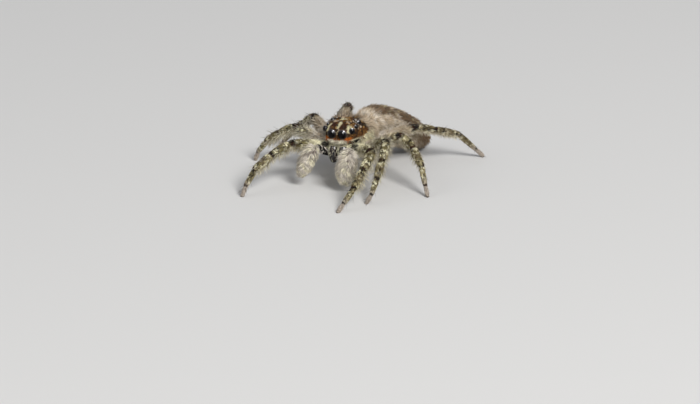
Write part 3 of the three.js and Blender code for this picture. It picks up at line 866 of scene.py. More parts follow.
# %% [markdown]
# ## The markings
#
# A jumping spider's pattern is painted by scales, and it is the same on the scales and on the skin under
# them. So it is one formula of three things that both carry: the place on its own form, the kind of form,
# and the ground, which is the point of the skin in millimetres that feeds the noise. The numbers in a
# formula are places on the form and shares of the random cells. A place is in millimetres on the body,
# in segments down a limb, and from -1 to 1 across a ring of a limb or of the belly.

# %% Colours and how they are laid
INK = {
    "cream": (0.68, 0.62, 0.39),
    "white": (0.72, 0.66, 0.57),
    "ivory": (0.92, 0.87, 0.62),
    "pink": (0.55, 0.44, 0.31),
    "honey": (0.17, 0.078, 0.02),
    "gold": (0.42, 0.24, 0.07),
    "maroon": (0.045, 0.012, 0.006),
    "black": (0.01, 0.009, 0.008),
    "orange": (0.5, 0.13, 0.015),
    "rust": (0.2725, 0.071, 0.0105),
    "straw": (0.43, 0.37, 0.21),
    "olive": (0.22, 0.185, 0.085),
    "tan": (0.145, 0.092, 0.046),
    "fawn": (0.165, 0.095, 0.044),
    "brown": (0.1, 0.062, 0.03),
    "umber": (0.045, 0.03, 0.016),
    "buff": (0.33, 0.27, 0.18),
    "toe": (0.48, 0.41, 0.34),
}
print(f"{len(INK)} colours")


def blend(under, over, share):
    """One colour laid over another. A colour is the name of an ink, three numbers or a value."""
    under, over = (INK[ink] if isinstance(ink, str) else ink for ink in (under, over))
    tree = next(v.tree for v in (share, under, over) if isinstance(v, Value))
    return add_node(tree, "ShaderNodeMix", {"data_type": "RGBA"}, {"Factor": share, "A": under, "B": over})


def attribute(tree, word, output="Vector"):
    return add_node(tree, "ShaderNodeAttribute", {"attribute_name": word}, {}, output=output)


def mosaic(ground, scale):
    """How far the border of a cell is in a random mosaic, and three random numbers for each cell."""
    inputs = {"Vector": ground, "Scale": scale}
    border = add_node(ground.tree, "ShaderNodeTexVoronoi", {"feature": "DISTANCE_TO_EDGE"}, inputs)
    return border, add_node(ground.tree, "ShaderNodeTexVoronoi", {}, inputs, output="Color").parts()


STREAK_STRETCH = (1.0, 1.0, 0.22)


def streaks(ground, scale, under, over):
    """Upright streaks of one colour on another."""
    return blend(under, over, (ground * STREAK_STRETCH).noise(scale).rise(0.44, 0.6) * 0.85)


# %% Head, brow, eye stripes and collar
def head_markings(place, ground):
    wobble, fine = ground.noise(3.2) - 0.5, ground.noise(11.0) - 0.5
    ahead, side, up = place.parts()
    ahead = ahead + 0.4 * wobble + 0.1 * fine
    aside = abs(side) + 0.2 * fine + 0.16 * wobble
    up = up + 0.12 * fine
    border, (first, second, third) = mosaic(ground, 7.0)
    top = up.rise(1.0, 1.15)

    paint = blend("maroon", "honey", border.rise(0.02, 0.16))
    paint = paint.painted("gold", first.rise(0.62, 0.64) * border.rise(0.03, 0.12))
    paint = paint.painted("pink", third.rise(0.8, 0.82) * top)
    paint = paint.painted("black", second.fall(0.26, 0.28) * 0.85)
    dark = ahead.band(1.3, 2.0, 0.06) * aside.band(0.12, 0.5, 0.04) * top
    paint = paint.painted("maroon", dark * third.rise(0.1, 0.3) * 0.9)
    blotch = ahead.band(1.02, 1.26, 0.05) * aside.band(0.2, 0.5, 0.05) * top
    paint = paint.painted("pink", blotch * second.rise(0.2, 0.4) * 0.8)
    stripe = ahead.rise(1.24, 1.34) * aside.fall(0.04, 0.12) * up.rise(0.8, 0.9)
    spot = ahead.band(0.66, 0.92, 0.05) * aside.fall(0.14, 0.24) * top
    brow = ahead.band(1.44, 1.95, 0.05) * aside.band(0.52, 0.77, 0.04) * up.rise(0.92, 1.02)
    paint = paint.painted("cream", stripe.most(spot).most(brow) * first.rise(0.08, 0.12))
    salt = ahead.band(0.3, 0.8, 0.08) * aside.band(0.5, 0.86, 0.06) * up.rise(1.15, 1.3)
    paint = paint.painted("black", salt * second.rise(0.5, 0.52))
    paint = paint.painted("white", salt * third.rise(0.72, 0.74))

    back = streaks(place * (1.0, 4.0, 1.0), 1.6, "tan", "pink")
    back = blend("pink", back, up.rise(0.8, 1.2) * aside.fall(0.55, 0.9) * 0.85)
    paint = paint.painted(back, ahead.fall(0.12, 0.3))
    collar = blend("ivory", "cream", third.rise(0.6, 0.64) * 0.7)
    collar = collar.painted("olive", first.rise(0.88, 0.9) * 0.7)
    collar = collar.painted("white", ahead.rise(1.7, 1.9) * 0.5)
    edge = up - 0.3 * ahead.fall(0.05, 0.65)
    paint = paint.painted(collar, edge.fall(0.55, 0.65) * ahead.rise(-0.35, -0.1))
    flame = ahead.rise(1.6, 1.75) * up.band(0.57, 0.74, 0.03) * aside.band(0.46, 0.86, 0.05)
    paint = paint.painted("orange", flame)
    line = ahead.rise(1.8, 1.95) * up.band(0.61, 0.67, 0.015) * aside.fall(0.5, 0.6)
    paint = paint.painted("rust", line * 0.8)
    speck = ahead.rise(1.75, 1.9) * up.fall(0.5, 0.6) * second.rise(0.74, 0.76)
    paint = paint.painted("maroon", speck * 0.7)
    shadow = ahead.band(1.0, 1.9, 0.06) * aside.rise(0.5, 0.62) * up.fall(0.52, 0.58)
    paint = paint.painted("black", shadow)
    flank = streaks(ground, 5.0, "pink", "white")
    paint = paint.painted(flank, up.fall(0.3, 0.6) * ahead.fall(-0.3, 0.0))
    return paint.painted("ivory", up.fall(0.0, 0.15) * ahead.rise(-0.3, 0.0))


# %% Belly, limbs and feelers
def belly_markings(place, ground):
    wobble, fine = ground.noise(1.7) - 0.5, ground.noise(8.0) - 0.5
    _, (first, second, third) = mosaic(ground, 4.5)
    back, across, top = place.parts()
    back = back + 0.5 * wobble
    aside = abs(across) + 0.22 * wobble + 0.16 * fine
    paint = streaks(ground, 5.0, "pink", "white")
    paint = paint.painted(streaks(ground, 3.3, "pink", "olive"), top.fall(0.1, 0.6) * 0.4)

    mottle = blend("brown", "fawn", first.rise(0.25, 0.6))
    mottle = mottle.painted("straw", second.rise(0.84, 0.88) * 0.7)
    mottle = mottle.painted("umber", third.rise(0.8, 0.84) * 0.6)
    chevron = ((back + 0.7 * aside) * 8.0).math("SINE").rise(0.45, 0.75) * aside.fall(0.35, 0.5)
    chevron = chevron * back.band(1.6, 4.2, 0.2) * first.rise(0.15, 0.25)
    mottle = mottle.painted("pink", chevron * 0.55)
    patch = (0.53 + 0.2 * back - aside).rise(-0.08, 0.12) * top.rise(-0.1, 0.2) * back.rise(0.4, 0.7)
    patch = patch * (1 - back.band(1.4, 1.62, 0.06) * first.rise(0.3, 0.4) * 0.6)
    paint = paint.painted(mottle, patch * 0.96)
    rear = back.rise(2.7, 3.6) * (fine + wobble).rise(-0.4, 0.0)
    paint = paint.painted("fawn", rear * second.fall(0.84, 0.88) * 0.8)
    return paint.painted("buff", top.fall(-0.8, -0.4) * 0.7)


LEG_RINGS = ((1.82, 2.03), (2.93, 3.08), (3.91, 4.04), (4.91, 5.01), (5.88, 6.2))  # in segments
RING_EDGE = 0.03


def limb_markings(place, ground):
    wobble, fine = ground.noise(4.0) - 0.5, ground.noise(12.0) - 0.5
    _, (first, second, third) = mosaic(ground, 9.5)
    along, _, top = place.parts()
    along = along + 0.16 * wobble + 0.08 * fine
    rearward = ground.parts()[1]
    paint = blend("olive", "straw", ground.noise(2.4).rise(0.4, 0.6))
    paint = paint.painted("ivory", third.rise(0.7, 0.73) * 0.9)
    thigh = rearward.rise(-0.7, 0.1) * along.fall(1.7, 1.9)
    paint = paint.painted("pink", thigh * 0.8)
    hips = streaks(ground, 5.0, "pink", "white").painted("ivory", rearward.fall(-1.6, -0.9))
    paint = paint.painted(hips, along.fall(1.1, 1.6))
    paint = paint.painted("tan", rearward.rise(0.0, 1.5) * 0.35)
    foot = along.rise(4.5, 5.1)
    paint = paint.painted("toe", foot)

    seen = top.rise(-0.6, 0.2) * along.rise(1.15, 1.6) * (1 - 0.8 * foot) * (1 - 0.75 * thigh)
    paint = paint.painted("umber", first.rise(0.66, 0.69) * seen * 0.75)
    paint = paint.painted("black", second.rise(0.9, 0.92) * seen)
    blot = along.band(3.36, 3.62, 0.05) * top.rise(-0.3, 0.3) * wobble.rise(-0.12, 0.02)
    paint = paint.painted("brown", blot * 0.7)
    rings = along.band(*LEG_RINGS[0], RING_EDGE)
    for low, high in LEG_RINGS[1:]:
        rings = rings.most(along.band(low, high, RING_EDGE))
    broken = (fine + wobble).rise(-0.28, -0.1)
    ring_paint = blend("black", "maroon", first.rise(0.6, 0.7))
    return paint.painted(ring_paint, rings * broken * top.rise(-0.7, 0.1))


def feeler_markings(place, ground):
    border, (first, second, _) = mosaic(ground, 7.0)
    along = place.parts()[0]
    paint = blend("white", "ivory", ground.noise(3.0).rise(0.42, 0.6))
    # Painted shade: tan along the borders of the cells darkens the gaps between the tufts.
    paint = paint.painted("tan", border.fall(0.0, 0.1) * 0.65)
    spots = first.rise(0.8, 0.83) * along.rise(1.9, 2.1) * along.fall(3.0, 3.3)
    paint = paint.painted("maroon", spots * 0.8)
    base = blend("black", "white", second.rise(0.7, 0.74))
    return paint.painted(base, along.fall(1.8, 2.05))


# %% The whole spider's paint
CHEEK_SHADE = (1.5, 0.88, 0.16)  # the middle of the painted shade in the hollow beside the jaws
CHEEK_SHADE_REACH = 0.3


def markings(tree):
    """The colour of the spider at a place, for its skin and for the hairs that root there."""
    place, kind, ground = (attribute(tree, word) for word in ("place", "kind", "ground"))
    paint = head_markings(place, ground)
    for on_form, formula in zip(kind.parts(), (limb_markings, feeler_markings, belly_markings)):
        paint = paint.painted(formula(place, ground), on_form.rise(0.4, 0.6))
    # Painted shade: the hollow beside each jaw is painted black, fading out over the reach.
    ahead, aside, up = CHEEK_SHADE
    for sign in SIDES.values():
        shaded_hollow = tuple(in_body(ahead, sign * aside, up))
        near = (ground - shaded_hollow).math("LENGTH").fall(CHEEK_SHADE_REACH * 0.8, CHEEK_SHADE_REACH)
        paint = paint.painted("black", near * 0.9)
    return paint


# %% [markdown]
# ## The finishes
#
# A finish is a material whose Principled shader takes a few formulas. Colour, roughness and bump vary over
# the surface. What is the same all over, such as the gloss of hair, is set on the shader's own socket.

# %% Finishes of the skin and the coat
HAIR_GLOSS = 0.15
BUMP_DEPTH = 0.01 * MILLIMETRE
BRIGHTEST, TIP_LIGHT = 1.15, 0.2


def new_finish(name, looks, *values):
    """A material whose shader takes what looks gives for its sockets."""
    made = bpy.data.materials.new(name)
    made.use_nodes = True
    tree = made.node_tree
    shader = tree.nodes["Principled BSDF"]
    for socket, value in looks(tree, *values).items():
        plug(tree, shader.inputs[socket], value)
    return made


def bump(height, strength):
    sockets = {"Strength": strength, "Distance": BUMP_DEPTH, "Height": height}
    return add_node(height.tree, "ShaderNodeBump", {}, sockets)


def skin_looks(tree):
    ground = attribute(tree, "ground")
    return {
        "Base Color": markings(tree).painted("brown", 0.6),
        "Roughness": 0.45 + 0.2 * ground.noise(20.0),
        "Normal": bump(ground.noise(30.0, 3.0), 0.4),
    }


def hair_looks(tree, whiter, darkest):
    """A hair takes the colour of its root. Each differs a little in shade, and tips catch more light."""
    shade, tip = (attribute(tree, word, "Fac") for word in ("shade", "tip"))
    paint = markings(tree)
    if whiter:
        paint = paint.painted("white", whiter * (0.3 + 0.7 * tip))
    value = darkest + (BRIGHTEST - darkest) * shade + TIP_LIGHT * tip
    paint = add_node(tree, "ShaderNodeHueSaturation", {}, {"Color": paint, "Value": value})
    return {"Base Color": paint, "Roughness": 0.4 + 0.2 * shade, "Specular IOR Level": HAIR_GLOSS}


def bristle_looks(tree):
    shade = attribute(tree, "shade", "Fac")
    return {"Base Color": blend("black", "brown", shade.rise(0.3, 1.0)), "Roughness": 0.25 + 0.1 * shade}


FINISHES = {
    "skin": new_finish("skin", skin_looks),
    "fur": new_finish("fur", hair_looks, 0.0, 0.5),
    "shag": new_finish("shag", hair_looks, 0.05, 0.65),
    "white shag": new_finish("white shag", hair_looks, 0.55, 0.65),
    "bristle": new_finish("bristle", bristle_looks),
}
skin.data.materials.clear()
skin.data.materials.append(FINISHES["skin"])
print(f"{len(FINISHES)} finishes for skin and coat")

# %% [markdown]
# ## The coat
#
# Particle hair would be quick, but hair curves don't leave Blender as a solid. So each hair is a tiny
# closed blade, a flattened tube of three sides that tapers to a point and bends over. Points are scattered
# evenly over the skin, the forms say which way the hair lies there, and a blade is set on each point.
# Every blade keeps the place and the ground of its root, so a hair has one colour of the pattern.

# %% The shapes of single hairs
def hair_shape(name, points, spots, faces):
    """A closed shape one unit long along Y. spots lay its points out on its patch of the unwrap."""
    mesh = bpy.data.meshes.new(name)
    mesh.from_pydata(points, [], faces)
    write_word(mesh, "spot", VECTOR, "POINT", flat(spots))
    write_word(mesh, "tip", "FLOAT", "POINT", [along for _, along, _ in points])
    made = link(mesh, name)
    made.hide_render = made.hide_viewport = True
    return made


def scale_hair(widest, arch):
    """A pointed scale of only four faces: an arched top over a keel."""
    points = [(0, 0, 0), (-0.5, widest, arch), (0.5, widest, arch), (0, 1, 0)]
    spots = [(0, -0.5), (-0.5, widest - 0.5), (0.5, widest - 0.5), (0, 0.5)]
    return hair_shape("scale hair", points, spots, [(0, 2, 1), (1, 2, 3), (0, 1, 3), (0, 3, 2)])


def long_hair(rings, curl, thick):
    """A tapered, curved tube of three sides. rings has (share of the length, share of the width)."""
    points, spots = [], []
    for share, width in rings:
        arch = curl * (share - 0.9 * share * share)
        for x, z in ((-0.5, 0), (0.5, 0), (0, thick)):
            points.append((x * width, share, arch + z * width))
            spots.append((x, share - 0.5))
    tip = len(points)
    points.append((0, 1, curl * 0.1))
    spots.append((0, 0.5))
    faces = [(0, 2, 1), *side_faces(len(rings), 3)]
    faces += [(tip - 3 + i, tip - 3 + (i + 1) % 3, tip) for i in range(3)]
    return hair_shape("long hair", points, spots, faces)


SCALE_HAIR = scale_hair(0.45, 0.8)
LONG_HAIR = long_hair([(0, 0.8), (0.35, 1), (0.7, 0.65)], 4.0, 0.5)
print(f"{len(LONG_HAIR.data.polygons)} faces in a long hair, {len(SCALE_HAIR.data.polygons)} in a scale")

# %% [markdown]
# ### Planting
#
# One tree of nodes plants every layer, because fur, shag and bristles differ only in what is fed to it:
# the shape of the hair, its finish, some numbers, and the words under which the forms keep its cover, lie,
# length and lift. A hair starts along the lie of the coat, strays a little, leans with its tuft and away
# from the eyes, and is lifted off the skin by its angle.

# %% The tree that plants them
PATCH = 0.003  # of each hair on the unwrap
PLANTING_INPUTS = {
    "Object": ("Forms", "Hair"),
    "Int": ("Owner", "Seed"),
    "Float": ("Spacing", "Thickest", "Width", "Longer", "Higher", "Unruly", "Clumping", "Tufting", "Dither"),
    "Material": ("Finish",),
    "String": ("Cover", "Lie", "Length", "Lift"),
}
DRAWS = {"shade": 1, "lift": 2, "unruly": 3, "length": 4, "width": 5, "stray": 6}  # added to the seed
AWAY_FROM_EYES = 2.0


def planting_tree():
    tree, given = new_tree("plant hairs", PLANTING_INPUTS)
    mesh = object_mesh(given["Forms"])

    def draw(what, low, high, kind="FLOAT"):
        """A random value for each hair."""
        ends = {"Min": low, "Max": high, "Seed": given["Seed"] + DRAWS[what]}
        return add_node(tree, "FunctionNodeRandomValue", {"data_type": kind}, ends)

    ask = {"A": sampled(mesh, "owner", "INT"), "B": given["Owner"]}
    mine = add_node(tree, "FunctionNodeCompare", {"data_type": "INT", "operation": "EQUAL"}, ask)
    cover = sampled(mesh, given["Cover"], "FLOAT") * mine * (1 - carried(tree, "bare", "FLOAT"))
    scatter = {
        "Mesh": given["Geometry"],
        "Distance Min": given["Spacing"],
        "Density Max": given["Thickest"],
        "Density Factor": cover,
        "Seed": given["Seed"],
    }
    evenly = {"distribute_method": "POISSON"}
    points = add_node(tree, "GeometryNodeDistributePointsOnFaces", evenly, scatter, whole=True)
    normal = Value(tree, points.outputs["Normal"])
    geometry = Value(tree, points.outputs["Points"])

    root = position(tree)
    stray = draw("stray", (-1, -1, -1), (1, 1, 1), VECTOR) * given["Dither"]
    geometry = stored(geometry, "place", sampled(mesh, "place") + stray)
    for word in ("kind", "unwrap"):
        geometry = stored(geometry, word, sampled(mesh, word))
    geometry = stored(geometry, "ground", root + stray)
    geometry = stored(geometry, "shade", draw("shade", 0.0, 1.0), "FLOAT")

    def along_skin(way):
        return way - normal * way.math("DOT_PRODUCT", normal)

    lie = along_skin(sampled(mesh, given["Lie"])).math("NORMALIZE")
    parted = along_skin(carried(tree, "away")) * AWAY_FROM_EYES
    lift = sampled(mesh, given["Lift"], "FLOAT") + given["Higher"]
    lift = lift * draw("lift", 0.5, 1.5) * math.radians(1)
    tuft = root.noise(given["Tufting"], 1.0, "Color") - (0.5, 0.5, 0.5)
    way = lie + lie.math("CROSS_PRODUCT", normal) * draw("unruly", -1.0, 1.0) * given["Unruly"]
    way = way + tuft * given["Clumping"] + parted + normal * lift.math("TANGENT")
    axes = {"primary_axis": "Y", "secondary_axis": "Z"}
    turn = add_node(tree, "FunctionNodeAxesToRotation", axes, {"Primary Axis": way, "Secondary Axis": normal})
    long = sampled(mesh, given["Length"], "FLOAT") * draw("length", 0.6, 1.2) * given["Longer"]
    wide = given["Width"] * draw("width", 0.75, 1.25)
    size = add_node(tree, "ShaderNodeCombineXYZ", {}, {"X": wide, "Y": long, "Z": wide})

    hair = object_mesh(given["Hair"])
    planted = {"Points": geometry, "Instance": hair, "Rotation": turn, "Scale": size}
    geometry = add_node(tree, "GeometryNodeInstanceOnPoints", {}, planted)
    geometry = add_node(tree, "GeometryNodeRealizeInstances", {}, {"Geometry": geometry})
    patch = carried(tree, "unwrap") + carried(tree, "spot") * PATCH
    geometry = stored(geometry, "OFBake", patch, "FLOAT2", "CORNER")
    x, y, z = position(tree).parts()
    above = add_node(tree, "ShaderNodeCombineXYZ", {}, {"X": x, "Y": y, "Z": z.most(0.0)})
    geometry = add_node(tree, "GeometryNodeSetPosition", {}, {"Geometry": geometry, "Position": above})
    finish = {"Geometry": geometry, "Material": given["Finish"]}
    end_tree(add_node(tree, "GeometryNodeSetMaterial", {}, finish))
    return tree


PLANTING = planting_tree()
print(f"{len(PLANTING.nodes)} nodes plant the hair")

# %% Three layers
SHARED = {"Longer": 1.0, "Higher": 0.0, "Tufting": 2.6}
FLAT = {"Hair": SCALE_HAIR, "Finish": FINISHES["fur"], "Unruly": 0.22, "Clumping": 0.5, "Dither": 0.02}
LOOSE = {"Hair": LONG_HAIR, "Finish": FINISHES["shag"], "Unruly": 0.3, "Clumping": 0.9, "Dither": 0.05}
STIFF = {"Finish": FINISHES["bristle"], "Higher": 22.0, "Clumping": 0.2, "Width": 0.018}
LAYERS = {"fur": SHARED | FLAT, "shag": SHARED | LOOSE, "bristle": SHARED | LOOSE | STIFF}


def plant(name, layer, owner, bed, values):
    """Grows one piece of the coat on a mesh, as a plain mesh of its own."""
    words = {word.title(): f"{layer}_{word}" for word in COAT_WORDS}
    if layer == "bristle":
        words = {"Cover": "bristle_cover", "Lie": "fur_lie", "Length": "shag_length", "Lift": "fur_lift"}
    ground = link(bed, name + " bed")
    planter = ground.modifiers.new("plant", "NODES")
    planter.node_group = PLANTING
    set_inputs(planter, {"Forms": forms, "Owner": owner, **words, **LAYERS[layer], **values})
    bpy.context.view_layer.update()
    mesh = baked_mesh(ground, name)
    bpy.data.objects.remove(ground)
    for word in ("unwrap", "spot", "bare", "away"):
        if word in mesh.attributes:
            mesh.attributes.remove(mesh.attributes[word])
    print(f"{name}: {sum(len(p.vertices) - 2 for p in mesh.polygons)} triangles")
    return link(mesh, name)


# %% Plant the fur, the shag and the bristles
FIRST_SEED = 11
PATCHES = {
    "head": HEAD,
    "belly": BELLY_PIECE,
    "legs_front_left": FRONT_LEFT,
    "legs_rear_left": REAR_LEFT,
    "legs_front_right": FRONT_RIGHT,
    "legs_rear_right": REAR_RIGHT,
    "feelers": FEELER,
}
FUR = {
    "head": {"Spacing": 0.014, "Thickest": 5200.0, "Width": 0.03, "Dither": 0.01},
    "belly": {"Spacing": 0.02, "Thickest": 2100.0, "Width": 0.042},
    "legs": {"Spacing": 0.017, "Thickest": 2800.0, "Width": 0.034},
    "feelers": {"Spacing": 0.019, "Thickest": 2200.0, "Width": 0.032, "Clumping": 0.2},
}
WHITE = {"Finish": FINISHES["white shag"]}
BRUSH = {"Clumping": 0.65, "Tufting": 6.0, "Unruly": 0.2}
SHAG = {
    "head": {"Spacing": 0.024, "Thickest": 900.0, "Width": 0.026},
    "belly": {"Spacing": 0.032, "Thickest": 420.0, "Width": 0.028},
    "legs": {"Spacing": 0.03, "Thickest": 380.0, "Width": 0.025, "Clumping": 0.4, **WHITE},
    "feelers": {"Spacing": 0.024, "Thickest": 1300.0, "Width": 0.04, **BRUSH, **WHITE},
}
BRISTLES = {"head": {"Spacing": 0.12, "Thickest": 12.0}, "legs": {"Spacing": 0.12, "Thickest": 14.0}}
coat = {}
for layer, table in (("fur", FUR), ("shag", SHAG), ("bristle", BRISTLES)):
    for seed, (patch, owner) in enumerate(PATCHES.items(), FIRST_SEED):
        values = table.get(patch.split("_")[0])
        if values:
            name = f"{layer}_{patch}"
            coat[name] = plant(name, layer, owner, skin.data, {**values, "Seed": seed})

# %% [markdown]
# ## Jaws, eyes and claws
#
# These are the bare, hard parts: dark shell as glossy as lacquer, and lenses polished like glass. Their
# highlights give the face its life. They could be sculpted, but each is a row of rings, so they share the
# grid of the lofts. The shell of the jaws shows through a thin growth of white hair.

# %% Shell and lens finishes
SHELL_TONES = ((0.002, 0.002, 0.003), (0.01, 0.006, 0.005))
LENS_TONES = ((0.0003, 0.0003, 0.0004), (0.0009, 0.0006, 0.0007))


def bare_place(tree):
    """The place on a bare piece, in millimetres."""
    return add_node(tree, "ShaderNodeTexCoord", {}, {}, output="Object") * (1 / MILLIMETRE)


def shell_looks(tree):
    place = bare_place(tree)
    return {
        "Base Color": blend(*SHELL_TONES, place.noise(3.0).rise(0.4, 0.7)),
        "Roughness": 0.14 + 0.14 * place.noise(9.0),
        "Normal": bump(place.noise(25.0), 0.3),
    }


def lens_looks(tree):
    tone = blend(*LENS_TONES, bare_place(tree).noise(2.0))
    return {"Base Color": tone, "Roughness": 0.025, "IOR": 1.22}


FINISHES |= {"dark shell": new_finish("dark shell", shell_looks), "lens": new_finish("lens", lens_looks)}


def grid_mesh(name, grid):
    """A closed mesh over rows of rings."""
    rows, ring = grid.shape[:2]
    points = [*grid.reshape(-1, 3), grid[0].mean(0), grid[-1].mean(0)]
    faces = side_faces(rows, ring)
    hub = rows * ring
    for i in range(ring):
        j = (i + 1) % ring
        faces += [(j, i, hub), (hub - ring + i, hub - ring + j, hub + 1)]
    mesh = bpy.data.meshes.new(name)
    mesh.from_pydata([tuple(p) for p in points], [], faces)
    return mesh


def finished(mesh, name, finish):
    """An object of a mesh, smooth, facing outwards and with its finish."""
    work = bmesh.new()
    work.from_mesh(mesh)
    bmesh.ops.recalc_face_normals(work, faces=work.faces)
    work.to_mesh(mesh)
    work.free()
    mesh.materials.append(FINISHES[finish])
    return link(smooth(mesh), name)


# %% Jaws
JAW_SEED = 41
JAW_FUR = {"Spacing": 0.035, "Thickest": 420.0, "Width": 0.021, "Longer": 1.1}
pieces = []  # each with the slot of its finish and the solids that it stands for
for seed, (side, grid) in enumerate(jaw_grids.items(), JAW_SEED):
    name = f"jaw_{side}"
    jaw = finished(grid_mesh(name, grid), name, "dark shell")
    pieces.append((jaw, "jaw_shell", [f"chelicera_{side}"]))
    coat["fur_" + name] = plant("fur_" + name, "fur", JAW, jaw.data, {**JAW_FUR, "Seed": seed})

# %% [markdown]
# ### Eyes
#
# A jumping spider's eye is a clear dome over a black cup, so it looks like a black bead with one sharp
# highlight. Real depth behind the dome would hardly show at this size. So each lens is a dark, polished
# ball, and a low rim of shell hides where it enters the skin.

# %% Lenses and the rims they sit in
LENS_FINENESS = 4  # level of the icosphere, where 1 is a plain icosahedron
RIM_POINTS = 24
RIM_END = 0.9  # no row stands further out of the lens's middle, in radii
RIM = ((-0.35, -0.03), (-0.05, 0.03), (0.1, 0.03), (0.22, 0.004), (0.24, -0.04))


def ball(radius, middle):
    work = bmesh.new()
    bmesh.ops.create_icosphere(work, subdivisions=LENS_FINENESS, radius=radius)
    bmesh.ops.translate(work, verts=work.verts, vec=middle)
    mesh = bpy.data.meshes.new("ball")
    work.to_mesh(mesh)
    work.free()
    return mesh


def circle(count, right, upward):
    """Points one unit from the middle, in the plane of two directions."""
    turns = np.arange(count) / count * 2 * math.pi
    return np.outer(np.cos(turns), right) + np.outer(np.sin(turns), upward)


def rim_grid(radius, middle, outward, level):
    """A low collar round a lens. level is how far out of the lens's middle the skin is, in radii.

    The rows of RIM are a height over the skin in radii, and a distance off the lens in millimetres.
    """
    across = unit(np.cross(outward, UP))
    around = circle(RIM_POINTS, across, np.cross(across, outward))
    rows = []
    for height, proud in RIM:
        share = min(level + height, RIM_END)
        reach = radius * math.sqrt(1 - share**2) + proud
        rows.append(middle + outward * share * radius + around * reach)
    return np.array(rows)


for side, sign in SIDES.items():
    for title, (place, radius, sunk) in EYES.items():
        middle = eye_middle(sign, place, sunk)
        lens = finished(ball(radius, middle), f"lens_{title}_{side}", "lens")
        pieces.append((lens, "eye", [f"eye_{title}_{side}"]))
        grid = rim_grid(radius, middle, eye_outward(sign, place), (sunk - COAT_DEPTH) / radius)
        rim = finished(grid_mesh("rim", grid), f"rim_{title}_{side}", "dark shell")
        pieces.append((rim, "jaw_shell", []))
print(f"{len(EYES) * len(SIDES)} eyes, each with a rim")

# %% [markdown]
# ### Claws
#
# Every leg ends in two curved horns of dark shell, which grip the bark. A cone bent by a modifier would
# do, but rows of rings can also be held above the floor, so that no claw reaches through it.

# %% Claws
CLAW = {"length": 0.14, "radius": 0.02, "spread": 0.03, "sunk": 0.06, "rows": 7, "sides": 6}
CLAW_CURL = 1.2  # radians from root to tip
CLAW_DROOP = 0.5
CLAW_APART = 0.4  # of the spread, at the root
CLAW_TAPER = 1.02  # shares of the radius at the root, and one less at the tip


def claw_grid(foot, along, aside):
    """A horn that leaves the foot and curls down to a point."""
    root = foot - along * CLAW["sunk"]
    rows = []
    for share in np.linspace(0, 1, CLAW["rows"]):
        curl = share * CLAW_CURL
        way = unit(along * math.cos(curl) - UP * math.sin(curl) * CLAW_DROOP)
        middle = root + aside * CLAW["spread"] * (CLAW_APART + share) + way * CLAW["length"] * share
        middle[2] = max(middle[2], CLAW["radius"])
        around = circle(CLAW["sides"], aside, np.cross(aside, way))
        rows.append(middle + around * CLAW["radius"] * (CLAW_TAPER - share))
    return np.array(rows)


for n, (ankle, foot) in enumerate(leg_tips):
    along = unit(foot - ankle)
    aside = unit(np.cross(along, UP))
    for hand, sign in (("outer", 1), ("inner", -1)):
        name = f"claw_{n + 1}_{hand}"
        claw = finished(grid_mesh(name, claw_grid(foot, along, aside * sign)), name, "dark shell")
        pieces.append((claw, "jaw_shell", []))
print(f"two claws on each of {len(leg_tips)} feet")

# %% [markdown]
# ## Into the frame
#
# Everything is shrunk from millimetres to metres in its own mesh, rides on the one body, and hides the
# solids that it stands for.

# %% Shrink, ride and replace
LEG_PARTS = ("coxa", "femur", "tibia", "tarsus")
PALP_PARTS = LEG_PARTS[1:]
SLOTS = {"head": "carapace_scales", "belly": "belly_coat", "feelers": "palp_hair", "jaw": "palp_hair"}
limbs = [f"leg_{side}_{n}_{part}" for side in SIDES for n in (1, 2, 3, 4) for part in LEG_PARTS]
limbs += [f"palp_{side}_{part}" for side in SIDES for part in PALP_PARTS]
pieces.append((skin, "underside_hair", ["carapace", "sternum", "pedicel", "abdomen", "spinnerets", *limbs]))
pieces += [(made, SLOTS.get(name.split("_")[1], "leg_coat"), []) for name, made in coat.items()]
for spare in (forms, SCALE_HAIR, LONG_HAIR):
    bpy.data.objects.remove(spare)
for piece, slot, nodes in pieces:
    piece.data.transform(Matrix.Scale(MILLIMETRE, 4))
    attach(piece, BODY)
    if nodes:
        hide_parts(*nodes)
print(f"{len(pieces)} pieces ride on {BODY}")

# %% [markdown]
# ## The studio
#
# A plain pale floor, dim cool light from all round, and two soft boxes: the key from the right and a
# weaker, wider fill from the left. A third small lamp lights only the polished pieces, because one hard
# spark in each eye brings the face to life, and the same lamp would bleach the coat.

# %% Floor and sky
FLOOR_REACH = 2.0
SKY = {"Color": (0.9, 0.93, 1.0, 1), "Strength": 0.33}


def floor_looks(tree):
    return {"Base Color": (0.62, 0.61, 0.59), "Roughness": 0.7}


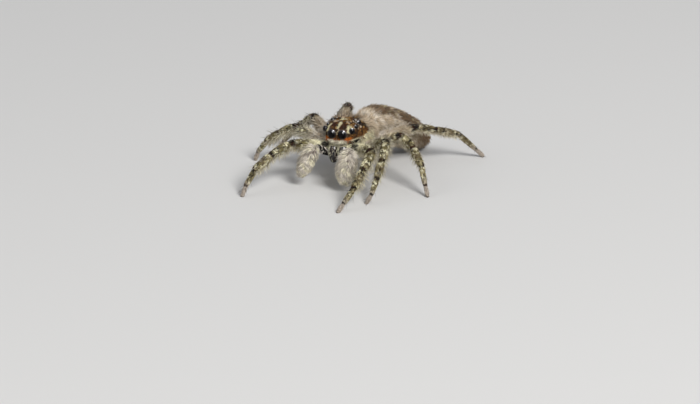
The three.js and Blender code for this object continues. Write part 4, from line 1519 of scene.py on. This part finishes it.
floor = link(bpy.data.meshes.new("floor"), "floor")
corners = [(x * FLOOR_REACH, y * FLOOR_REACH, 0) for x, y in ((-1, -1), (1, -1), (1, 1), (-1, 1))]
floor.data.from_pydata(corners, [], [(0, 1, 2, 3)])
floor.data.materials.append(new_finish("floor", floor_looks))
floor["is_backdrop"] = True

world = bpy.data.worlds.new("studio")
bpy.context.scene.world = world
bpy.context.scene.view_settings.view_transform = "Standard"
world.use_nodes = True
for socket, value in SKY.items():
    world.node_tree.nodes["Background"].inputs[socket].default_value = value

# %% Lamps and camera
LAMPS_TARGET = Vector((0, 0, 0.0015))


def look_from(made, azimuth, elevation):
    """Turns a lamp or camera to look from an azimuth and elevation in degrees. Gives the way back to it."""
    a, e = math.radians(azimuth), math.radians(elevation)
    back = Vector((math.sin(a) * math.cos(e), -math.cos(a) * math.cos(e), math.sin(e)))
    made.rotation_mode = "QUATERNION"
    made.rotation_quaternion = (-back).to_track_quat("-Z", "Y")
    return back


def softbox(name, azimuth, elevation, distance, size, power):
    """A square lamp that looks at the spider."""
    lamp = bpy.data.lights.new(name, "AREA")
    lamp.size, lamp.energy = size, power
    made = link(lamp, name)
    made.location = LAMPS_TARGET + look_from(made, azimuth, elevation) * distance
    made.visible_camera = False
    return made


softbox("key", 50, 40, 0.4, 0.14, 1.75)
softbox("fill", -50, 35, 0.5, 0.4, 0.5)
spark = softbox("spark", 51, 69, 0.3, 0.1, 5.0)
polished = bpy.data.collections.new("polished")
for piece, slot, _ in pieces:
    if slot in ("eye", "jaw_shell"):
        polished.objects.link(piece)
spark.light_linking.receiver_collection = polished

CAMERA = {"azimuth": 21.27, "elevation": 20, "distance": 210, "target": (0.448, -1.397, -1.216)}
camera = link(bpy.data.cameras.new("camera"), "camera")
back = look_from(camera, CAMERA["azimuth"], CAMERA["elevation"])
camera.location = (Vector(CAMERA["target"]) + back * CAMERA["distance"]) * MILLIMETRE
camera.data.lens, camera.data.sensor_width = 184.7, 36
camera.data.clip_start, camera.data.clip_end = 0.01, 20
bpy.context.scene.camera = camera

# %% [markdown]
# ## The measure
#
# The dressed spider is a little larger than its solids, by the length of its hair. Its bounds are measured
# at the end.

# %% Sizes, and the end
low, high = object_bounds()
